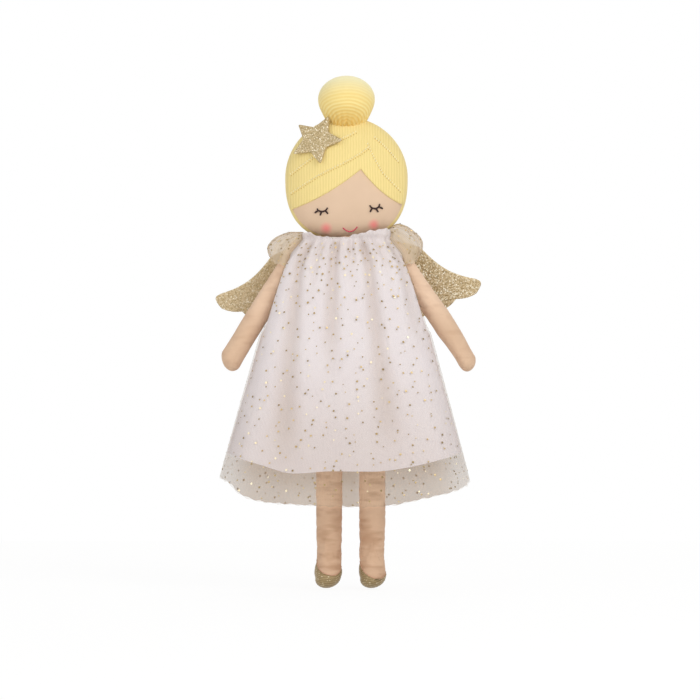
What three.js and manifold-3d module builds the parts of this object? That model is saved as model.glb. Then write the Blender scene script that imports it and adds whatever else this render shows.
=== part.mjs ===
// A soft angel doll with sewn and stuffed limbs, a gathered dress and felt wings.
// Millimetres, +Z up. The doll is upright and its face looks along -Y. The origin is the middle
// of its waist. Left and right are the doll's own, so its left arm lies on +X.
import * as THREE from 'three';
import { mergeVertices } from 'three/addons/utils/BufferGeometryUtils.js';
import Module from 'manifold-3d';

const wasm = await Module();
wasm.setup();

// Cloth and clearances
const SKIN = 1.2; // cotton jersey and rib knit, with its seam allowance
const GAP = 0.3; // between pieces that are sewn or lie together
const NET = 0.8; // one layer of dress cloth
const LAYER_GAP = 0.7; // between the lining and the net
const SHOE_CLOTH = 1.4;
const THREAD = 0.9; // radius of a stitched eye line
const LIP_THREAD = 0.65;

// Torso
const SHOULDER_LINE = 74; // top of the torso above the waist
const SEAT_LINE = 66; // bottom seam below the waist
const YOKE_DROP = 5; // levels below the torso's top, and above its seat
const CHEST_DROP = 28;
const HIP_RISE = 20;
const SHOULDER_HALF = 38; // half widths and half depths
const SHOULDER_DEPTH = 17;
const CHEST_HALF = 40;
const CHEST_DEPTH = 20;
const WAIST_HALF = 32;
const WAIST_DEPTH = 20;
const HIP_HALF = 39;
const HIP_DEPTH = 18;
const SEAT_HALF = 33;
const SEAT_DEPTH = 2.4; // the panels are pinched into the seat seam
const COLLAR_HALF = 26;
const COLLAR_DEPTH = 14.5;

// Neck
const NECK_RADIUS = 12;
const NECK_BALL = 13; // round stuffed end that the head rocks on
const NECK_RISE = 8; // ball centre above the torso
const NECK_SUNK = 11; // length inside the torso

// Head: two panels, the back one drawn round to the front
const HEAD_LIFT = 5.3; // chin above the torso
const HEAD_HALF = 57.4;
const HEAD_RISE = 57;
const HEAD_DROP = 59;
const HEAD_DEPTH = 33;
const HEAD_SEAM = 8; // seam plane in front of the middle
const CROWN_POWER = 2; // outline exponents: round above, fuller below
const CHEEK_POWER = 2.5;
const PILLOW_POWER = 1.6;

// Hairline, from the head's centre
const PARTING = new THREE.Vector2(13.4, 6.6);
const HAIR_RIGHT_END = new THREE.Vector2(-49.9, -29.5);
const HAIR_LEFT_END = new THREE.Vector2(49.5, -24.4);
const HAIR_BOW = 4; // sag of each hairline below its chord

// Bun
const BUN_RADIUS = 26.6;
const BUN_HEIGHT = 44;
const BUN_BASE = 17;
const BUN_SUNK = 5.5; // its base lies this far below the crown, in front of it
const BUN_FORWARD = 6;

// Star
const STAR_POINT = 24.8;
const STAR_WAIST = 12.8;
const STAR_THICK = 2.2;
const STAR_TILT = THREE.MathUtils.degToRad(29);
const STAR_OFF = new THREE.Vector2(-28.8, 35.4); // from the head's centre
const STAR_TURN = THREE.MathUtils.degToRad(-24);

// Face, from the head's centre
const EYE_RIGHT = new THREE.Vector2(-22, -29.5);
const EYE_LEFT = new THREE.Vector2(26.6, -26.5);
const EYE_HALF = 4.7;
const EYE_SAG = 3;
const EYE_SLANT = THREE.MathUtils.degToRad(6);
const LASH = 4.2;
const LASH_FAN = THREE.MathUtils.degToRad(43);
const MOUTH = new THREE.Vector2(3.4, -47);
const MOUTH_HALF = 6.8;
const MOUTH_SAG = 4;

// Arms
const ARM_BALL = 9;
const ARM_SEAT = 1.5; // depth of the ball in the torso
const ARM_DROP = 3; // shoulder centre below the torso's top
const ARM_MIDDLE = 10.6;
const HAND = 11.2;
const ARM_LENGTH = 122; // shoulder centre to the middle of the hand
const UPPER_ARM = 37; // distances below the shoulder centre
const FOREARM = 79;
const ARM_SPLAY = THREE.MathUtils.degToRad(31.5);

// Hips, legs and shoes
const HIP_BEAD = 2; // rolled edge that the seat folds on
const HIP_CLOTH = 3;
const HIP_DROP = 15.5; // fold to the leg's centre
const HIP_LIP = 5; // cloth that stops above the leg's centre
const LEG_BALL = 10.5;
const THIGH = 12.6;
const CALF = 13;
const ANKLE = 11.6;
const LEG_LENGTH = 162;
const THIGH_DOWN = 32; // distances below the leg's centre
const CALF_DOWN = 81;
const SHIN_DOWN = 120;
const LEG_PITCH = 40.5;
const LEG_SHIFT = 3; // the pair hangs a little towards the doll's left
const FOOT_HEIGHT = 26;
const TOE_FORWARD = 5;
const TOE_SWELL = 2.6;
const SHOE_HEIGHT = 28;
const VAMP_DROP = 14; // how far the shoe's opening dips at the front
const VAMP_HALF = 9.5;

// Dress
const GATHER_HALF = 41; // gathered neckline
const GATHER_DEPTH = 22;
const RUFFLE = 5.5; // above the gathers
const RUFFLE_FLARE = 2.6;
const BUST_DROP = 12; // below the shoulder centre
const BUST_HALF = 60;
const BUST_DEPTH = 29;
const HEM_DROP = 213; // below the shoulder centre, at the sides
const HEM_HALF = 111.5;
const HEM_DEPTH = 60;
const HEM_DIP = 28; // the hem is longer in front and behind
const HEM_SWAY = -3; // the skirt hangs a little towards the doll's right
const LINING_SHORT = 22; // lining ends above the net, at the sides
const LINING_DIP = 17;
const SQUARENESS = 3.2;
const FOLDS = 12;
const MAIN_FOLD = 0.7; // share of the folds that is regular
const CALM = [0.2, 0.6]; // the folds fade towards the arms between these shares of the front
const FOLD_NECK = 0.7;
const FOLD_HEM = 5;
const NET_FLARE = 3; // the net stands off the lining at the hem
const ARMHOLE_DROP = 24;
const ARMHOLE_HALF = 13;
const ARMHOLE_BEND = THREE.MathUtils.degToRad(54); // where its sides meet the round top
const PLEAT_EASE = 0.8; // room between the arm and the cloth that it presses in
const PLEAT_SLOPE = 5;
const ELASTIC = 1.2;

// Sleeves: net caps round the shoulders, given along and across the arm
const CAP_START = -12;
const CAP_END = 25.5;
const CAP_SWELL = 28;
const CAP_DEPTH = 21;
const CAP_MOUTH = 13;
const CAP_FULLNESS = 0.7;

// Wings: one felt piece, sewn down the middle of the back
const WING_FELT = 2.4;
const WING_SPAN = 125.5; // middle to tip
const WING_TOP = 69; // heights above the waist at the arm
const WING_TIP = 31;
const WING_LOW = -2;
const WING_MIDDLE_HALF = 10;
const WING_MIDDLE_LOW = 18;
const WING_MIDDLE_TOP = 60;
const WING_SKEW = THREE.MathUtils.degToRad(-3.4);

// Facets
const HEAD_SIDES = 24;
const TORSO_SIDES = 16;
const LIMB_SIDES = 12;
const BALL_SIDES = 16;
const BUN_STEPS = 5;
const ARC_STEPS = 6;
const THREAD_SIDES = 6;
const CAP_ROWS = 5;
const DRESS_QUARTER = 10;
const DRESS_SIDES = 4 * DRESS_QUARTER + 8; // with four points at each pleat
const DRESS_ROWS = 9;
const ROW_CROWDING = 1.6;
const CURVE_STEPS = 6;
const SHEARED = 1.08;
const MERGE = 1e-4;
const FAR = 400; // reach of cutting blocks

// Places that follow from the sizes
const NECK_PIVOT = SHOULDER_LINE + NECK_RISE;
const HEAD_CENTRE = SHOULDER_LINE + HEAD_LIFT + HEAD_DROP;
const CROWN = HEAD_CENTRE + HEAD_RISE;
const SHOULDER_X = SHOULDER_HALF + ARM_BALL - ARM_SEAT;
const SHOULDER_Z = SHOULDER_LINE - ARM_DROP;
const SIT_PIVOT = -SEAT_LINE - GAP - HIP_BEAD;
const LEG_PIVOT = SIT_PIVOT - HIP_DROP;
const GATHER_Z = SHOULDER_Z + ARM_BALL + GAP;
const NECKLINE = GATHER_Z + RUFFLE;
const BUST_Z = SHOULDER_Z - BUST_DROP;
const HEM_Z = SHOULDER_Z - HEM_DROP;
const SIDES = { left: 1, right: -1 };

// Closed meshes and cuts
function signedVolume(points, faces) {
  let sum = 0;
  for (const [a, b, c] of faces) {
    sum += points[a].dot(new THREE.Vector3().crossVectors(points[b], points[c]));
  }
  return sum / 6;
}

function closedMesh(points, faces) {
  const inside = signedVolume(points, faces) < 0;
  const order = faces.map(([a, b, c]) => (inside ? [a, c, b] : [a, b, c]));
  const geometry = new THREE.BufferGeometry().setFromPoints(points);
  geometry.setIndex(order.flat());
  return geometry;
}

// Joins rings of equal length. A loop closes on its first ring, and otherwise both ends are capped.
// Sheared faces split along their longer diagonal. Nested layers that share a guide split alike, so
// that they stay apart in a pleat.
function loft(rings, { loop = false, start = null, end = null, guide = rings } = {}) {
  const count = rings[0].length;
  const points = rings.flat();
  const shape = guide.flat();
  const faces = [];
  const last = loop ? rings.length : rings.length - 1;
  for (let row = 0; row < last; row += 1) {
    const next = (row + 1) % rings.length;
    for (let i = 0; i < count; i += 1) {
      const j = (i + 1) % count;
      const [a, b, c, d] = [row * count + i, row * count + j, next * count + j, next * count + i];
      const other = shape[b].distanceTo(shape[d]) > SHEARED * shape[a].distanceTo(shape[c]);
      faces.push(...(other ? [[a, b, d], [b, c, d]] : [[a, b, c], [a, c, d]]));
    }
  }
  if (!loop) {
    const caps = [[0, start, true], [rings.length - 1, end, false]];
    for (const [row, tip, flip] of caps) {
      const middle = new THREE.Vector3();
      rings[row].forEach((p) => middle.addScaledVector(p, 1 / count));
      const hub = points.push(tip ?? middle) - 1;
      for (let i = 0; i < count; i += 1) {
        const j = (i + 1) % count;
        const [a, b] = flip ? [j, i] : [i, j];
        faces.push([hub, row * count + a, row * count + b]);
      }
    }
  }
  return closedMesh(points, faces);
}

function solid(geometry) {
  const bare = geometry.clone();
  bare.deleteAttribute('normal');
  bare.deleteAttribute('uv');
  const merged = mergeVertices(bare, MERGE);
  return new wasm.Manifold(new wasm.Mesh({
    numProp: 3,
    vertProperties: new Float32Array(merged.attributes.position.array),
    triVerts: new Uint32Array(merged.index.array),
  }));
}

function geometryOf(body) {
  const mesh = body.getMesh();
  const geometry = new THREE.BufferGeometry();
  geometry.setAttribute('position', new THREE.BufferAttribute(mesh.vertProperties, 3));
  geometry.setIndex(new THREE.BufferAttribute(mesh.triVerts, 1));
  return geometry;
}

function block(low, high) {
  const size = high.clone().sub(low);
  const middle = low.clone().add(high).multiplyScalar(0.5);
  return solid(new THREE.BoxGeometry(size.x, size.y, size.z).translate(middle.x, middle.y, middle.z));
}

// Balls and posts for cutting: their facets lie outside the radius.
const FACET_SWELL = 1 / Math.cos(Math.PI / BALL_SIDES);

function ball(radius, centre) {
  const geometry = new THREE.SphereGeometry(radius * FACET_SWELL ** 2, BALL_SIDES, BALL_SIDES / 2);
  return solid(geometry.translate(centre.x, centre.y, centre.z));
}

function post(radius, low, high) {
  const swollen = radius * FACET_SWELL;
  const geometry = new THREE.CylinderGeometry(swollen, swollen, high - low, BALL_SIDES);
  return solid(geometry.rotateX(Math.PI / 2).translate(0, 0, (low + high) / 2));
}

// An outline in the XZ plane, given thickness along Y about its middle.
function plate(shape, thickness, steps = CURVE_STEPS) {
  const options = { depth: thickness, bevelEnabled: false, curveSegments: steps };
  return new THREE.ExtrudeGeometry(shape, options).rotateX(Math.PI / 2).translate(0, thickness / 2, 0);
}

// An outline in the YZ plane, drawn out along X about its middle.
function bar(shape, length) {
  const turn = new THREE.Matrix4().makeBasis(
    new THREE.Vector3(0, 1, 0),
    new THREE.Vector3(0, 0, 1),
    new THREE.Vector3(1, 0, 0),
  );
  const options = { depth: length, bevelEnabled: false, curveSegments: CURVE_STEPS };
  return new THREE.ExtrudeGeometry(shape, options).applyMatrix4(turn).translate(-length / 2, 0, 0);
}

function smooth(low, high, value) {
  return THREE.MathUtils.smoothstep(value, low, high);
}

// Reads a value from a smooth curve through [place, value] pairs.
function along(pairs, place) {
  const last = pairs.length - 1;
  if (place <= pairs[0][0]) return pairs[0][1];
  if (place >= pairs[last][0]) return pairs[last][1];
  const i = pairs.findIndex(([at]) => at > place) - 1;
  const [x0, y0] = pairs[i];
  const [x1, y1] = pairs[i + 1];
  const slope = (k) => {
    const low = pairs[Math.max(k - 1, 0)];
    const high = pairs[Math.min(k + 1, last)];
    return (high[1] - low[1]) / (high[0] - low[0]);
  };
  const span = x1 - x0;
  const t = (place - x0) / span;
  const bend0 = slope(i) * span;
  const bend1 = slope(i + 1) * span;
  const t2 = t * t;
  const t3 = t2 * t;
  const ends = (2 * t3 - 3 * t2 + 1) * y0 + (3 * t2 - 2 * t3) * y1;
  return ends + (t3 - 2 * t2 + t) * bend0 + (t3 - t2) * bend1;
}

function oval(z, halfX, halfY, sides, shiftY = 0) {
  return Array.from({ length: sides }, (_, i) => {
    const angle = (2 * Math.PI * i) / sides;
    return new THREE.Vector3(halfX * Math.cos(angle), shiftY + halfY * Math.sin(angle), z);
  });
}

const doll = new THREE.Group();

function add(name, geometry, finish, parent = doll) {
  const mesh = new THREE.Mesh(geometry, finish);
  mesh.name = name;
  parent.add(mesh);
  return mesh;
}

function cloth(color, roughness, metalness = 0) {
  return new THREE.MeshStandardMaterial({ color, roughness, metalness });
}

const JERSEY = cloth('#e3c4a5', 0.9);
const RIB_KNIT = cloth('#f7e29a', 0.92);
const LINING = cloth('#ece4ea', 0.85);
const TULLE = cloth('#d9cfc3', 0.8);
const GLITTER = cloth('#c2a96c', 0.45, 0.6);
const FILLING = cloth('#f6f5f2', 0.95);
const DARK_THREAD = cloth('#2a1a1a', 0.7);
const PINK_THREAD = cloth('#dd5a70', 0.7);
const RUBBER_BAND = cloth('#f0eeea', 0.8);

// Torso: heights with their half widths and half depths
const TORSO_ROWS = [
  [-SEAT_LINE, SEAT_HALF, SEAT_DEPTH],
  [HIP_RISE - SEAT_LINE, HIP_HALF, HIP_DEPTH],
  [0, WAIST_HALF, WAIST_DEPTH],
  [SHOULDER_LINE - CHEST_DROP, CHEST_HALF, CHEST_DEPTH],
  [SHOULDER_LINE - YOKE_DROP, SHOULDER_HALF, SHOULDER_DEPTH],
  [SHOULDER_LINE, COLLAR_HALF, COLLAR_DEPTH],
];
const TORSO_WIDTHS = TORSO_ROWS.map(([z, width]) => [z, width]);
const TORSO_DEPTHS = TORSO_ROWS.map(([z, , depth]) => [z, depth]);
const TORSO_LEVELS = TORSO_ROWS.flatMap(([z], i) => (i === 0 ? [z] : [(z + TORSO_ROWS[i - 1][0]) / 2, z]));

function torsoBody(inset) {
  const rings = TORSO_LEVELS.map((level) => {
    const z = THREE.MathUtils.clamp(level, inset - SEAT_LINE, SHOULDER_LINE - inset);
    return oval(z, along(TORSO_WIDTHS, level) - inset, along(TORSO_DEPTHS, level) - inset, TORSO_SIDES);
  });
  return solid(loft(rings));
}

function shoulderCentre(side) {
  return new THREE.Vector3(side * SHOULDER_X, 0, SHOULDER_Z);
}

function addTorso() {
  const sockets = Object.values(SIDES).flatMap((side) => {
    return [ball(ARM_BALL + GAP, shoulderCentre(side)), armRoom(side, GAP)];
  });
  sockets.push(post(NECK_RADIUS + GAP, SHOULDER_LINE - NECK_SUNK - GAP, FAR));
  const cut = (body) => sockets.reduce((rest, socket) => rest.subtract(socket), body);
  const skin = torsoBody(0).subtract(torsoBody(SKIN));
  const corner = new THREE.Vector3(FAR, FAR, FAR);
  const front = block(corner.clone().negate(), new THREE.Vector3(FAR, -GAP / 2, FAR));
  const back = block(new THREE.Vector3(-FAR, GAP / 2, -FAR), corner);
  add('torso_front', geometryOf(cut(skin.intersect(front))), JERSEY);
  add('torso_back', geometryOf(cut(skin.intersect(back))), JERSEY);
  add('torso_filling', geometryOf(cut(torsoBody(SKIN + GAP))), FILLING);
}

// Neck: a stuffed stem whose round top seats in the head
function addNeck() {
  const foot = SHOULDER_LINE - NECK_SUNK;
  const meet = Math.acos(NECK_RADIUS / NECK_BALL);
  const profile = [new THREE.Vector2(0, foot), new THREE.Vector2(NECK_RADIUS, foot)];
  for (let i = 0; i <= CURVE_STEPS; i += 1) {
    const angle = THREE.MathUtils.lerp(-meet, Math.PI / 2, i / CURVE_STEPS);
    const radius = i === CURVE_STEPS ? 0 : NECK_BALL * Math.cos(angle);
    profile.push(new THREE.Vector2(radius, NECK_PIVOT + NECK_BALL * Math.sin(angle)));
  }
  const stem = new THREE.LatheGeometry(profile, BALL_SIDES).rotateX(Math.PI / 2);
  add('neck_stem', geometryOf(solid(stem)), JERSEY);
}

// Head: outlines in the XZ plane that shrink towards the front and back
function headRing(y, inset) {
  const depth = HEAD_DEPTH - inset;
  const scale = Math.sqrt(1 - Math.abs(y / depth) ** PILLOW_POWER);
  return Array.from({ length: HEAD_SIDES }, (_, i) => {
    const angle = (2 * Math.PI * i) / HEAD_SIDES;
    const up = Math.sin(angle) >= 0;
    const power = 2 / (up ? CROWN_POWER : CHEEK_POWER);
    const rise = (up ? HEAD_RISE : HEAD_DROP) - inset;
    const x = (HEAD_HALF - inset) * Math.sign(Math.cos(angle)) * Math.abs(Math.cos(angle)) ** power;
    const z = rise * Math.sign(Math.sin(angle)) * Math.abs(Math.sin(angle)) ** power;
    return new THREE.Vector3(x * scale, y, HEAD_CENTRE + z * scale);
  });
}

// Shares of the way from the seam to a pole; the second back ring is the widest.
const PILLOW_ROWS = [0, HEAD_SEAM / (HEAD_DEPTH + HEAD_SEAM), 0.45, 0.68, 0.85, 0.96];

// Rings from the seam plane to one pole of the head, for a surface inset from the outside.
function headRows(seam, direction, inset) {
  const pole = direction * (HEAD_DEPTH - inset);
  return PILLOW_ROWS.map((share) => headRing(THREE.MathUtils.lerp(seam, pole, share), inset));
}

function headPole(direction, inset) {
  return new THREE.Vector3(0, direction * (HEAD_DEPTH - inset), HEAD_CENTRE);
}

function headPanel(seam, direction, outer, inner) {
  const outside = headRows(seam, direction, outer).reverse();
  const inside = headRows(seam, direction, inner);
  const tips = { start: headPole(direction, outer), end: headPole(direction, inner) };
  return solid(loft([...outside, ...inside], tips));
}

function headBody(inset) {
  const front = headRows(-HEAD_SEAM, -1, inset).reverse();
  const back = headRows(-HEAD_SEAM, 1, inset).slice(1);
  return solid(loft([...front, ...back], { start: headPole(-1, inset), end: headPole(1, inset) }));
}

// The front of the head at a point of the XZ plane, lifted off the face by some millimetres.
function facePoint(x, z, lift) {
  const up = z >= 0;
  const power = up ? CROWN_POWER : CHEEK_POWER;
  const reach = (Math.abs(x) / HEAD_HALF) ** power + (Math.abs(z) / (up ? HEAD_RISE : HEAD_DROP)) ** power;
  const share = Math.max(1 - reach ** (2 / power), 0) ** (1 / PILLOW_POWER);
  return new THREE.Vector3(x, -HEAD_DEPTH * share - lift, HEAD_CENTRE + z);
}

function sagged(from, to, sag) {
  const middle = from.clone().lerp(to, 0.5);
  return middle.add(new THREE.Vector2(0, -2 * sag));
}

function hairShape() {
  const shape = new THREE.Shape();
  const left = sagged(PARTING, HAIR_LEFT_END, HAIR_BOW);
  const right = sagged(HAIR_RIGHT_END, PARTING, HAIR_BOW);
  const side = HEAD_HALF * 2;
  shape.moveTo(-side, HAIR_RIGHT_END.y);
  shape.lineTo(HAIR_RIGHT_END.x, HAIR_RIGHT_END.y);
  shape.quadraticCurveTo(right.x, right.y, PARTING.x, PARTING.y);
  shape.quadraticCurveTo(left.x, left.y, HAIR_LEFT_END.x, HAIR_LEFT_END.y);
  shape.lineTo(side, HAIR_LEFT_END.y);
  shape.lineTo(side, HEAD_RISE * 2);
  shape.lineTo(-side, HEAD_RISE * 2);
  return shape;
}

function addHead() {
  const socket = ball(NECK_BALL + GAP, new THREE.Vector3(0, 0, NECK_PIVOT));
  const seamFront = -HEAD_SEAM - GAP / 2;
  const seamBack = -HEAD_SEAM + GAP / 2;
  add('face_panel', geometryOf(headPanel(seamFront, -1, 0, SKIN).subtract(socket)), JERSEY);
  add('head_back', geometryOf(headPanel(seamBack, 1, 0, SKIN).subtract(socket)), RIB_KNIT);
  add('head_filling', geometryOf(headBody(SKIN + GAP).subtract(socket)), FILLING);
  const cap = headPanel(seamFront, -1, -GAP - SKIN, -GAP);
  const hairside = solid(plate(hairShape(), FAR).translate(0, 0, HEAD_CENTRE));
  add('hair_front', geometryOf(cap.intersect(hairside)), RIB_KNIT);
}

// Bun: a stuffed ball drawn in at its base, cut to sit on the crown
function bunProfile(inset) {
  const middle = BUN_HEIGHT / 2;
  const foot = new THREE.Vector2(BUN_BASE - inset, -BUN_SUNK);
  const low = Array.from({ length: BUN_STEPS }, (_, i) => {
    const share = i / BUN_STEPS;
    const radius = THREE.MathUtils.lerp(BUN_BASE, BUN_RADIUS, Math.sin((share * Math.PI) / 2));
    return new THREE.Vector2(radius - inset, middle * share);
  });
  const dome = Array.from({ length: BUN_STEPS + 1 }, (_, i) => {
    const angle = ((i / BUN_STEPS) * Math.PI) / 2;
    const radius = i === BUN_STEPS ? 0 : (BUN_RADIUS - inset) * Math.cos(angle);
    return new THREE.Vector2(radius, middle + (middle - inset) * Math.sin(angle));
  });
  return [foot, ...low, ...dome];
}

function addBun() {
  const head = headBody(-2 * GAP - SKIN);
  const seated = (profile) => {
    const lathe = new THREE.LatheGeometry(profile, BALL_SIDES).rotateX(Math.PI / 2);
    return geometryOf(solid(lathe.translate(0, -BUN_FORWARD, CROWN - BUN_SUNK)).subtract(head));
  };
  const shell = [...bunProfile(0), ...bunProfile(SKIN).reverse()];
  shell.push(shell[0].clone());
  const inside = bunProfile(SKIN + GAP);
  inside.unshift(new THREE.Vector2(0, inside[0].y));
  add('hair_bun', seated(shell), RIB_KNIT);
  add('bun_filling', seated(inside), FILLING);
}

// Star: glitter felt laid on the hair
function addStar() {
  const shape = new THREE.Shape();
  const corners = 10;
  for (let i = 0; i < corners; i += 1) {
    const radius = i % 2 ? STAR_WAIST : STAR_POINT;
    const angle = STAR_TURN + Math.PI / 2 + (2 * Math.PI * i) / corners;
    const point = [radius * Math.cos(angle), radius * Math.sin(angle)];
    if (i === 0) shape.moveTo(...point);
    else shape.lineTo(...point);
  }
  const out = STAR_OFF.clone().normalize();
  const slope = out.clone().multiplyScalar(Math.sin(STAR_TILT));
  const normal = new THREE.Vector3(slope.x, -Math.cos(STAR_TILT), slope.y);
  const lift = GAP + SKIN;
  let reach = -Infinity;
  for (let r = 0; r <= STAR_OFF.length() + STAR_POINT; r += 1) {
    const edge = Math.min(r, HEAD_HALF);
    const seat = facePoint(out.x * edge, out.y * edge, lift);
    reach = Math.max(reach, seat.dot(normal));
  }
  const middle = new THREE.Vector3(STAR_OFF.x, 0, HEAD_CENTRE + STAR_OFF.y);
  const stand = reach + 2 * GAP + STAR_THICK / 2;
  middle.y = (stand - middle.x * normal.x - middle.z * normal.z) / normal.y;
  const star = add('star', plate(shape, STAR_THICK), GLITTER);
  star.position.copy(middle);
  star.quaternion.setFromUnitVectors(new THREE.Vector3(0, -1, 0), normal);
}

// Stitched face: short tubes of thread laid on the face panel
function threadLine(points, radius) {
  const section = new THREE.Shape();
  section.absarc(0, 0, radius, 0, 2 * Math.PI);
  const path = new THREE.CatmullRomCurve3(points.map((p) => facePoint(p.x, p.y, radius + 2 * GAP)));
  const options = { steps: points.length - 1, curveSegments: THREAD_SIDES / 2, extrudePath: path };
  return solid(new THREE.ExtrudeGeometry(section, options));
}

function stitchedArc(centre, half, sag, slant) {
  return Array.from({ length: ARC_STEPS + 1 }, (_, i) => {
    const across = (2 * i) / ARC_STEPS - 1;
    const point = new THREE.Vector2(half * across, sag * (across * across - 1));
    return point.rotateAround(new THREE.Vector2(), slant).add(centre);
  });
}

// A closed eye: an arc with three lashes fanned out below it
function addEye(name, centre, slant) {
  const arc = stitchedArc(centre, EYE_HALF, EYE_SAG, slant);
  const lashes = [-1, 0, 1].map((place) => {
    const root = arc[ARC_STEPS / 2 + (place * ARC_STEPS) / 3];
    const lean = slant + place * LASH_FAN;
    const end = new THREE.Vector2(Math.sin(lean), -Math.cos(lean)).multiplyScalar(LASH).add(root);
    return threadLine([root, root.clone().lerp(end, 0.5), end], THREAD);
  });
  const eye = lashes.reduce((joined, lash) => joined.add(lash), threadLine(arc, THREAD));
  add(name, geometryOf(eye), DARK_THREAD);
}

function addFace() {
  addEye('eye_stitches_right', EYE_RIGHT, -EYE_SLANT);
  addEye('eye_stitches_left', EYE_LEFT, EYE_SLANT);
  const smile = stitchedArc(MOUTH, MOUTH_HALF, MOUTH_SAG, EYE_SLANT);
  add('mouth_stitches', geometryOf(threadLine(smile, LIP_THREAD)), PINK_THREAD);
}

// Stuffed limbs: rows are [distance below the joint, half width, half depth, shift in Y]
function roundRows(down, radius) {
  return [1, 2].map((step) => {
    const angle = (step * Math.PI) / 6;
    const half = radius * Math.cos(angle);
    return [down + radius * Math.sin(angle), half, half, 0];
  });
}

function ballRows(radius) {
  return roundRows(0, radius).map(([down, ...rest]) => [-down, ...rest]).reverse();
}

function limbRings(rows, inset) {
  return rows.map(([down, halfX, halfY, shift]) => {
    return oval(-down, halfX - inset, halfY - inset, LIMB_SIDES, shift);
  });
}

function limbTip(rows, inset, tip) {
  const shift = rows[rows.length - 1][3];
  return new THREE.Vector3(0, shift, inset - tip);
}

function limbSkin(rows, tip, outer, inner) {
  const outside = limbRings(rows, outer).reverse();
  const inside = limbRings(rows, inner);
  return loft([...outside, ...inside], { start: limbTip(rows, outer, tip), end: limbTip(rows, inner, tip) });
}

function limbBody(rows, tip, inset) {
  return loft(limbRings(rows, inset), { end: limbTip(rows, inset, tip) });
}

const ARM_ROWS = [
  ...ballRows(ARM_BALL),
  [0, ARM_BALL, ARM_BALL, 0],
  [UPPER_ARM, ARM_MIDDLE, ARM_MIDDLE, 0],
  [FOREARM, HAND, HAND, 0],
  [ARM_LENGTH, HAND, HAND, 0],
  ...roundRows(ARM_LENGTH, HAND),
];
const ARM_TIP = ARM_LENGTH + HAND;

function atShoulder(geometry, side) {
  const centre = shoulderCentre(side);
  return geometry.rotateY(-side * ARM_SPLAY).translate(centre.x, centre.y, centre.z);
}

function addArms() {
  for (const [name, side] of Object.entries(SIDES)) {
    add(`arm_${name}`, atShoulder(limbSkin(ARM_ROWS, ARM_TIP, 0, SKIN), side), JERSEY);
    add(`arm_${name}_filling`, atShoulder(limbBody(ARM_ROWS, ARM_TIP, SKIN + GAP), side), FILLING);
  }
}

// Hips: a flat strip of cloth, left unstuffed so that the doll can sit, and the legs sewn to it
function legCentre(side) {
  return new THREE.Vector3(LEG_SHIFT + (side * LEG_PITCH) / 2, 0, LEG_PIVOT);
}

function addHipStrip() {
  const low = LEG_PIVOT + HIP_LIP;
  const half = HIP_CLOTH / 2;
  const shape = new THREE.Shape();
  const meet = Math.asin(half / HIP_BEAD);
  shape.moveTo(-half, low);
  shape.lineTo(half, low);
  shape.absarc(0, SIT_PIVOT, HIP_BEAD, meet - Math.PI / 2, 1.5 * Math.PI - meet);
  const cut = Object.values(SIDES).reduce(
    (rest, side) => rest.subtract(ball(LEG_BALL + GAP, legCentre(side))),
    solid(bar(shape, 2 * SEAT_HALF)),
  );
  add('hip_strip', geometryOf(cut), JERSEY);
}

const SHOE_WALL = GAP + SHOE_CLOTH;
const SOLE = LEG_LENGTH - SHOE_WALL;

// Shares of the foot's height above the sole, of the ankle and of the toe.
const FOOT_SHAPE = [[1, 1, 0], [0.5, 1, 0.8], [0.24, 0.94, 1], [0.07, 0.7, 1]];
const FOOT_ROWS = FOOT_SHAPE.map(([up, width, toe]) => {
  const half = ANKLE * width;
  return [SOLE - FOOT_HEIGHT * up, half, half + TOE_SWELL * toe, -TOE_FORWARD * toe];
});
const SHIN = (CALF + ANKLE) / 2;
const LEG_ROWS = [
  ...ballRows(LEG_BALL),
  [0, LEG_BALL, LEG_BALL, 0],
  [THIGH_DOWN, THIGH, THIGH, 0],
  [CALF_DOWN, CALF, CALF, 0],
  [SHIN_DOWN, SHIN, SHIN, 0],
  ...FOOT_ROWS,
];

function atHip(geometry, side) {
  const centre = legCentre(side);
  return geometry.translate(centre.x, centre.y, centre.z);
}

// The shoe's opening, dipping at the front
function vampShape() {
  const rim = SHOE_HEIGHT - LEG_LENGTH;
  const shape = new THREE.Shape();
  shape.moveTo(-VAMP_HALF, rim + SHOE_HEIGHT);
  shape.lineTo(-VAMP_HALF, rim);
  shape.absellipse(0, rim, VAMP_HALF, VAMP_DROP, Math.PI, 2 * Math.PI);
  shape.lineTo(VAMP_HALF, rim + SHOE_HEIGHT);
  return shape;
}

function addLegs() {
  addHipStrip();
  const opening = solid(plate(vampShape(), FAR).translate(0, -FAR / 2 - TOE_SWELL, 0));
  const shoeRows = [[LEG_LENGTH - SHOE_HEIGHT, ANKLE, ANKLE, 0], ...FOOT_ROWS];
  for (const [name, side] of Object.entries(SIDES)) {
    add(`leg_${name}`, atHip(limbSkin(LEG_ROWS, SOLE, 0, SKIN), side), JERSEY);
    add(`leg_${name}_filling`, atHip(limbBody(LEG_ROWS, SOLE, SKIN + GAP), side), FILLING);
    const shoe = solid(limbSkin(shoeRows, SOLE, -SHOE_WALL, -GAP)).subtract(opening);
    add(`shoe_${name}`, atHip(geometryOf(shoe), side), GLITTER);
  }
}

// Dress: both layers follow one gathered surface, pressed in where the arms lie
const DRESS_WIDTHS = [
  [HEM_Z, HEM_HALF],
  [BUST_Z, BUST_HALF],
  [GATHER_Z, GATHER_HALF],
];
const DRESS_DEPTHS = [
  [HEM_Z, HEM_DEPTH],
  [BUST_Z, BUST_DEPTH],
  [GATHER_Z, GATHER_DEPTH],
];

function straight(pairs, place) {
  const i = place < pairs[1][0] ? 0 : 1;
  const [x0, y0] = pairs[i];
  const [x1, y1] = pairs[i + 1];
  return y0 + ((y1 - y0) * (place - x0)) / (x1 - x0);
}

function flare(z) {
  return RUFFLE_FLARE * smooth(GATHER_Z, NECKLINE, z);
}

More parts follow.
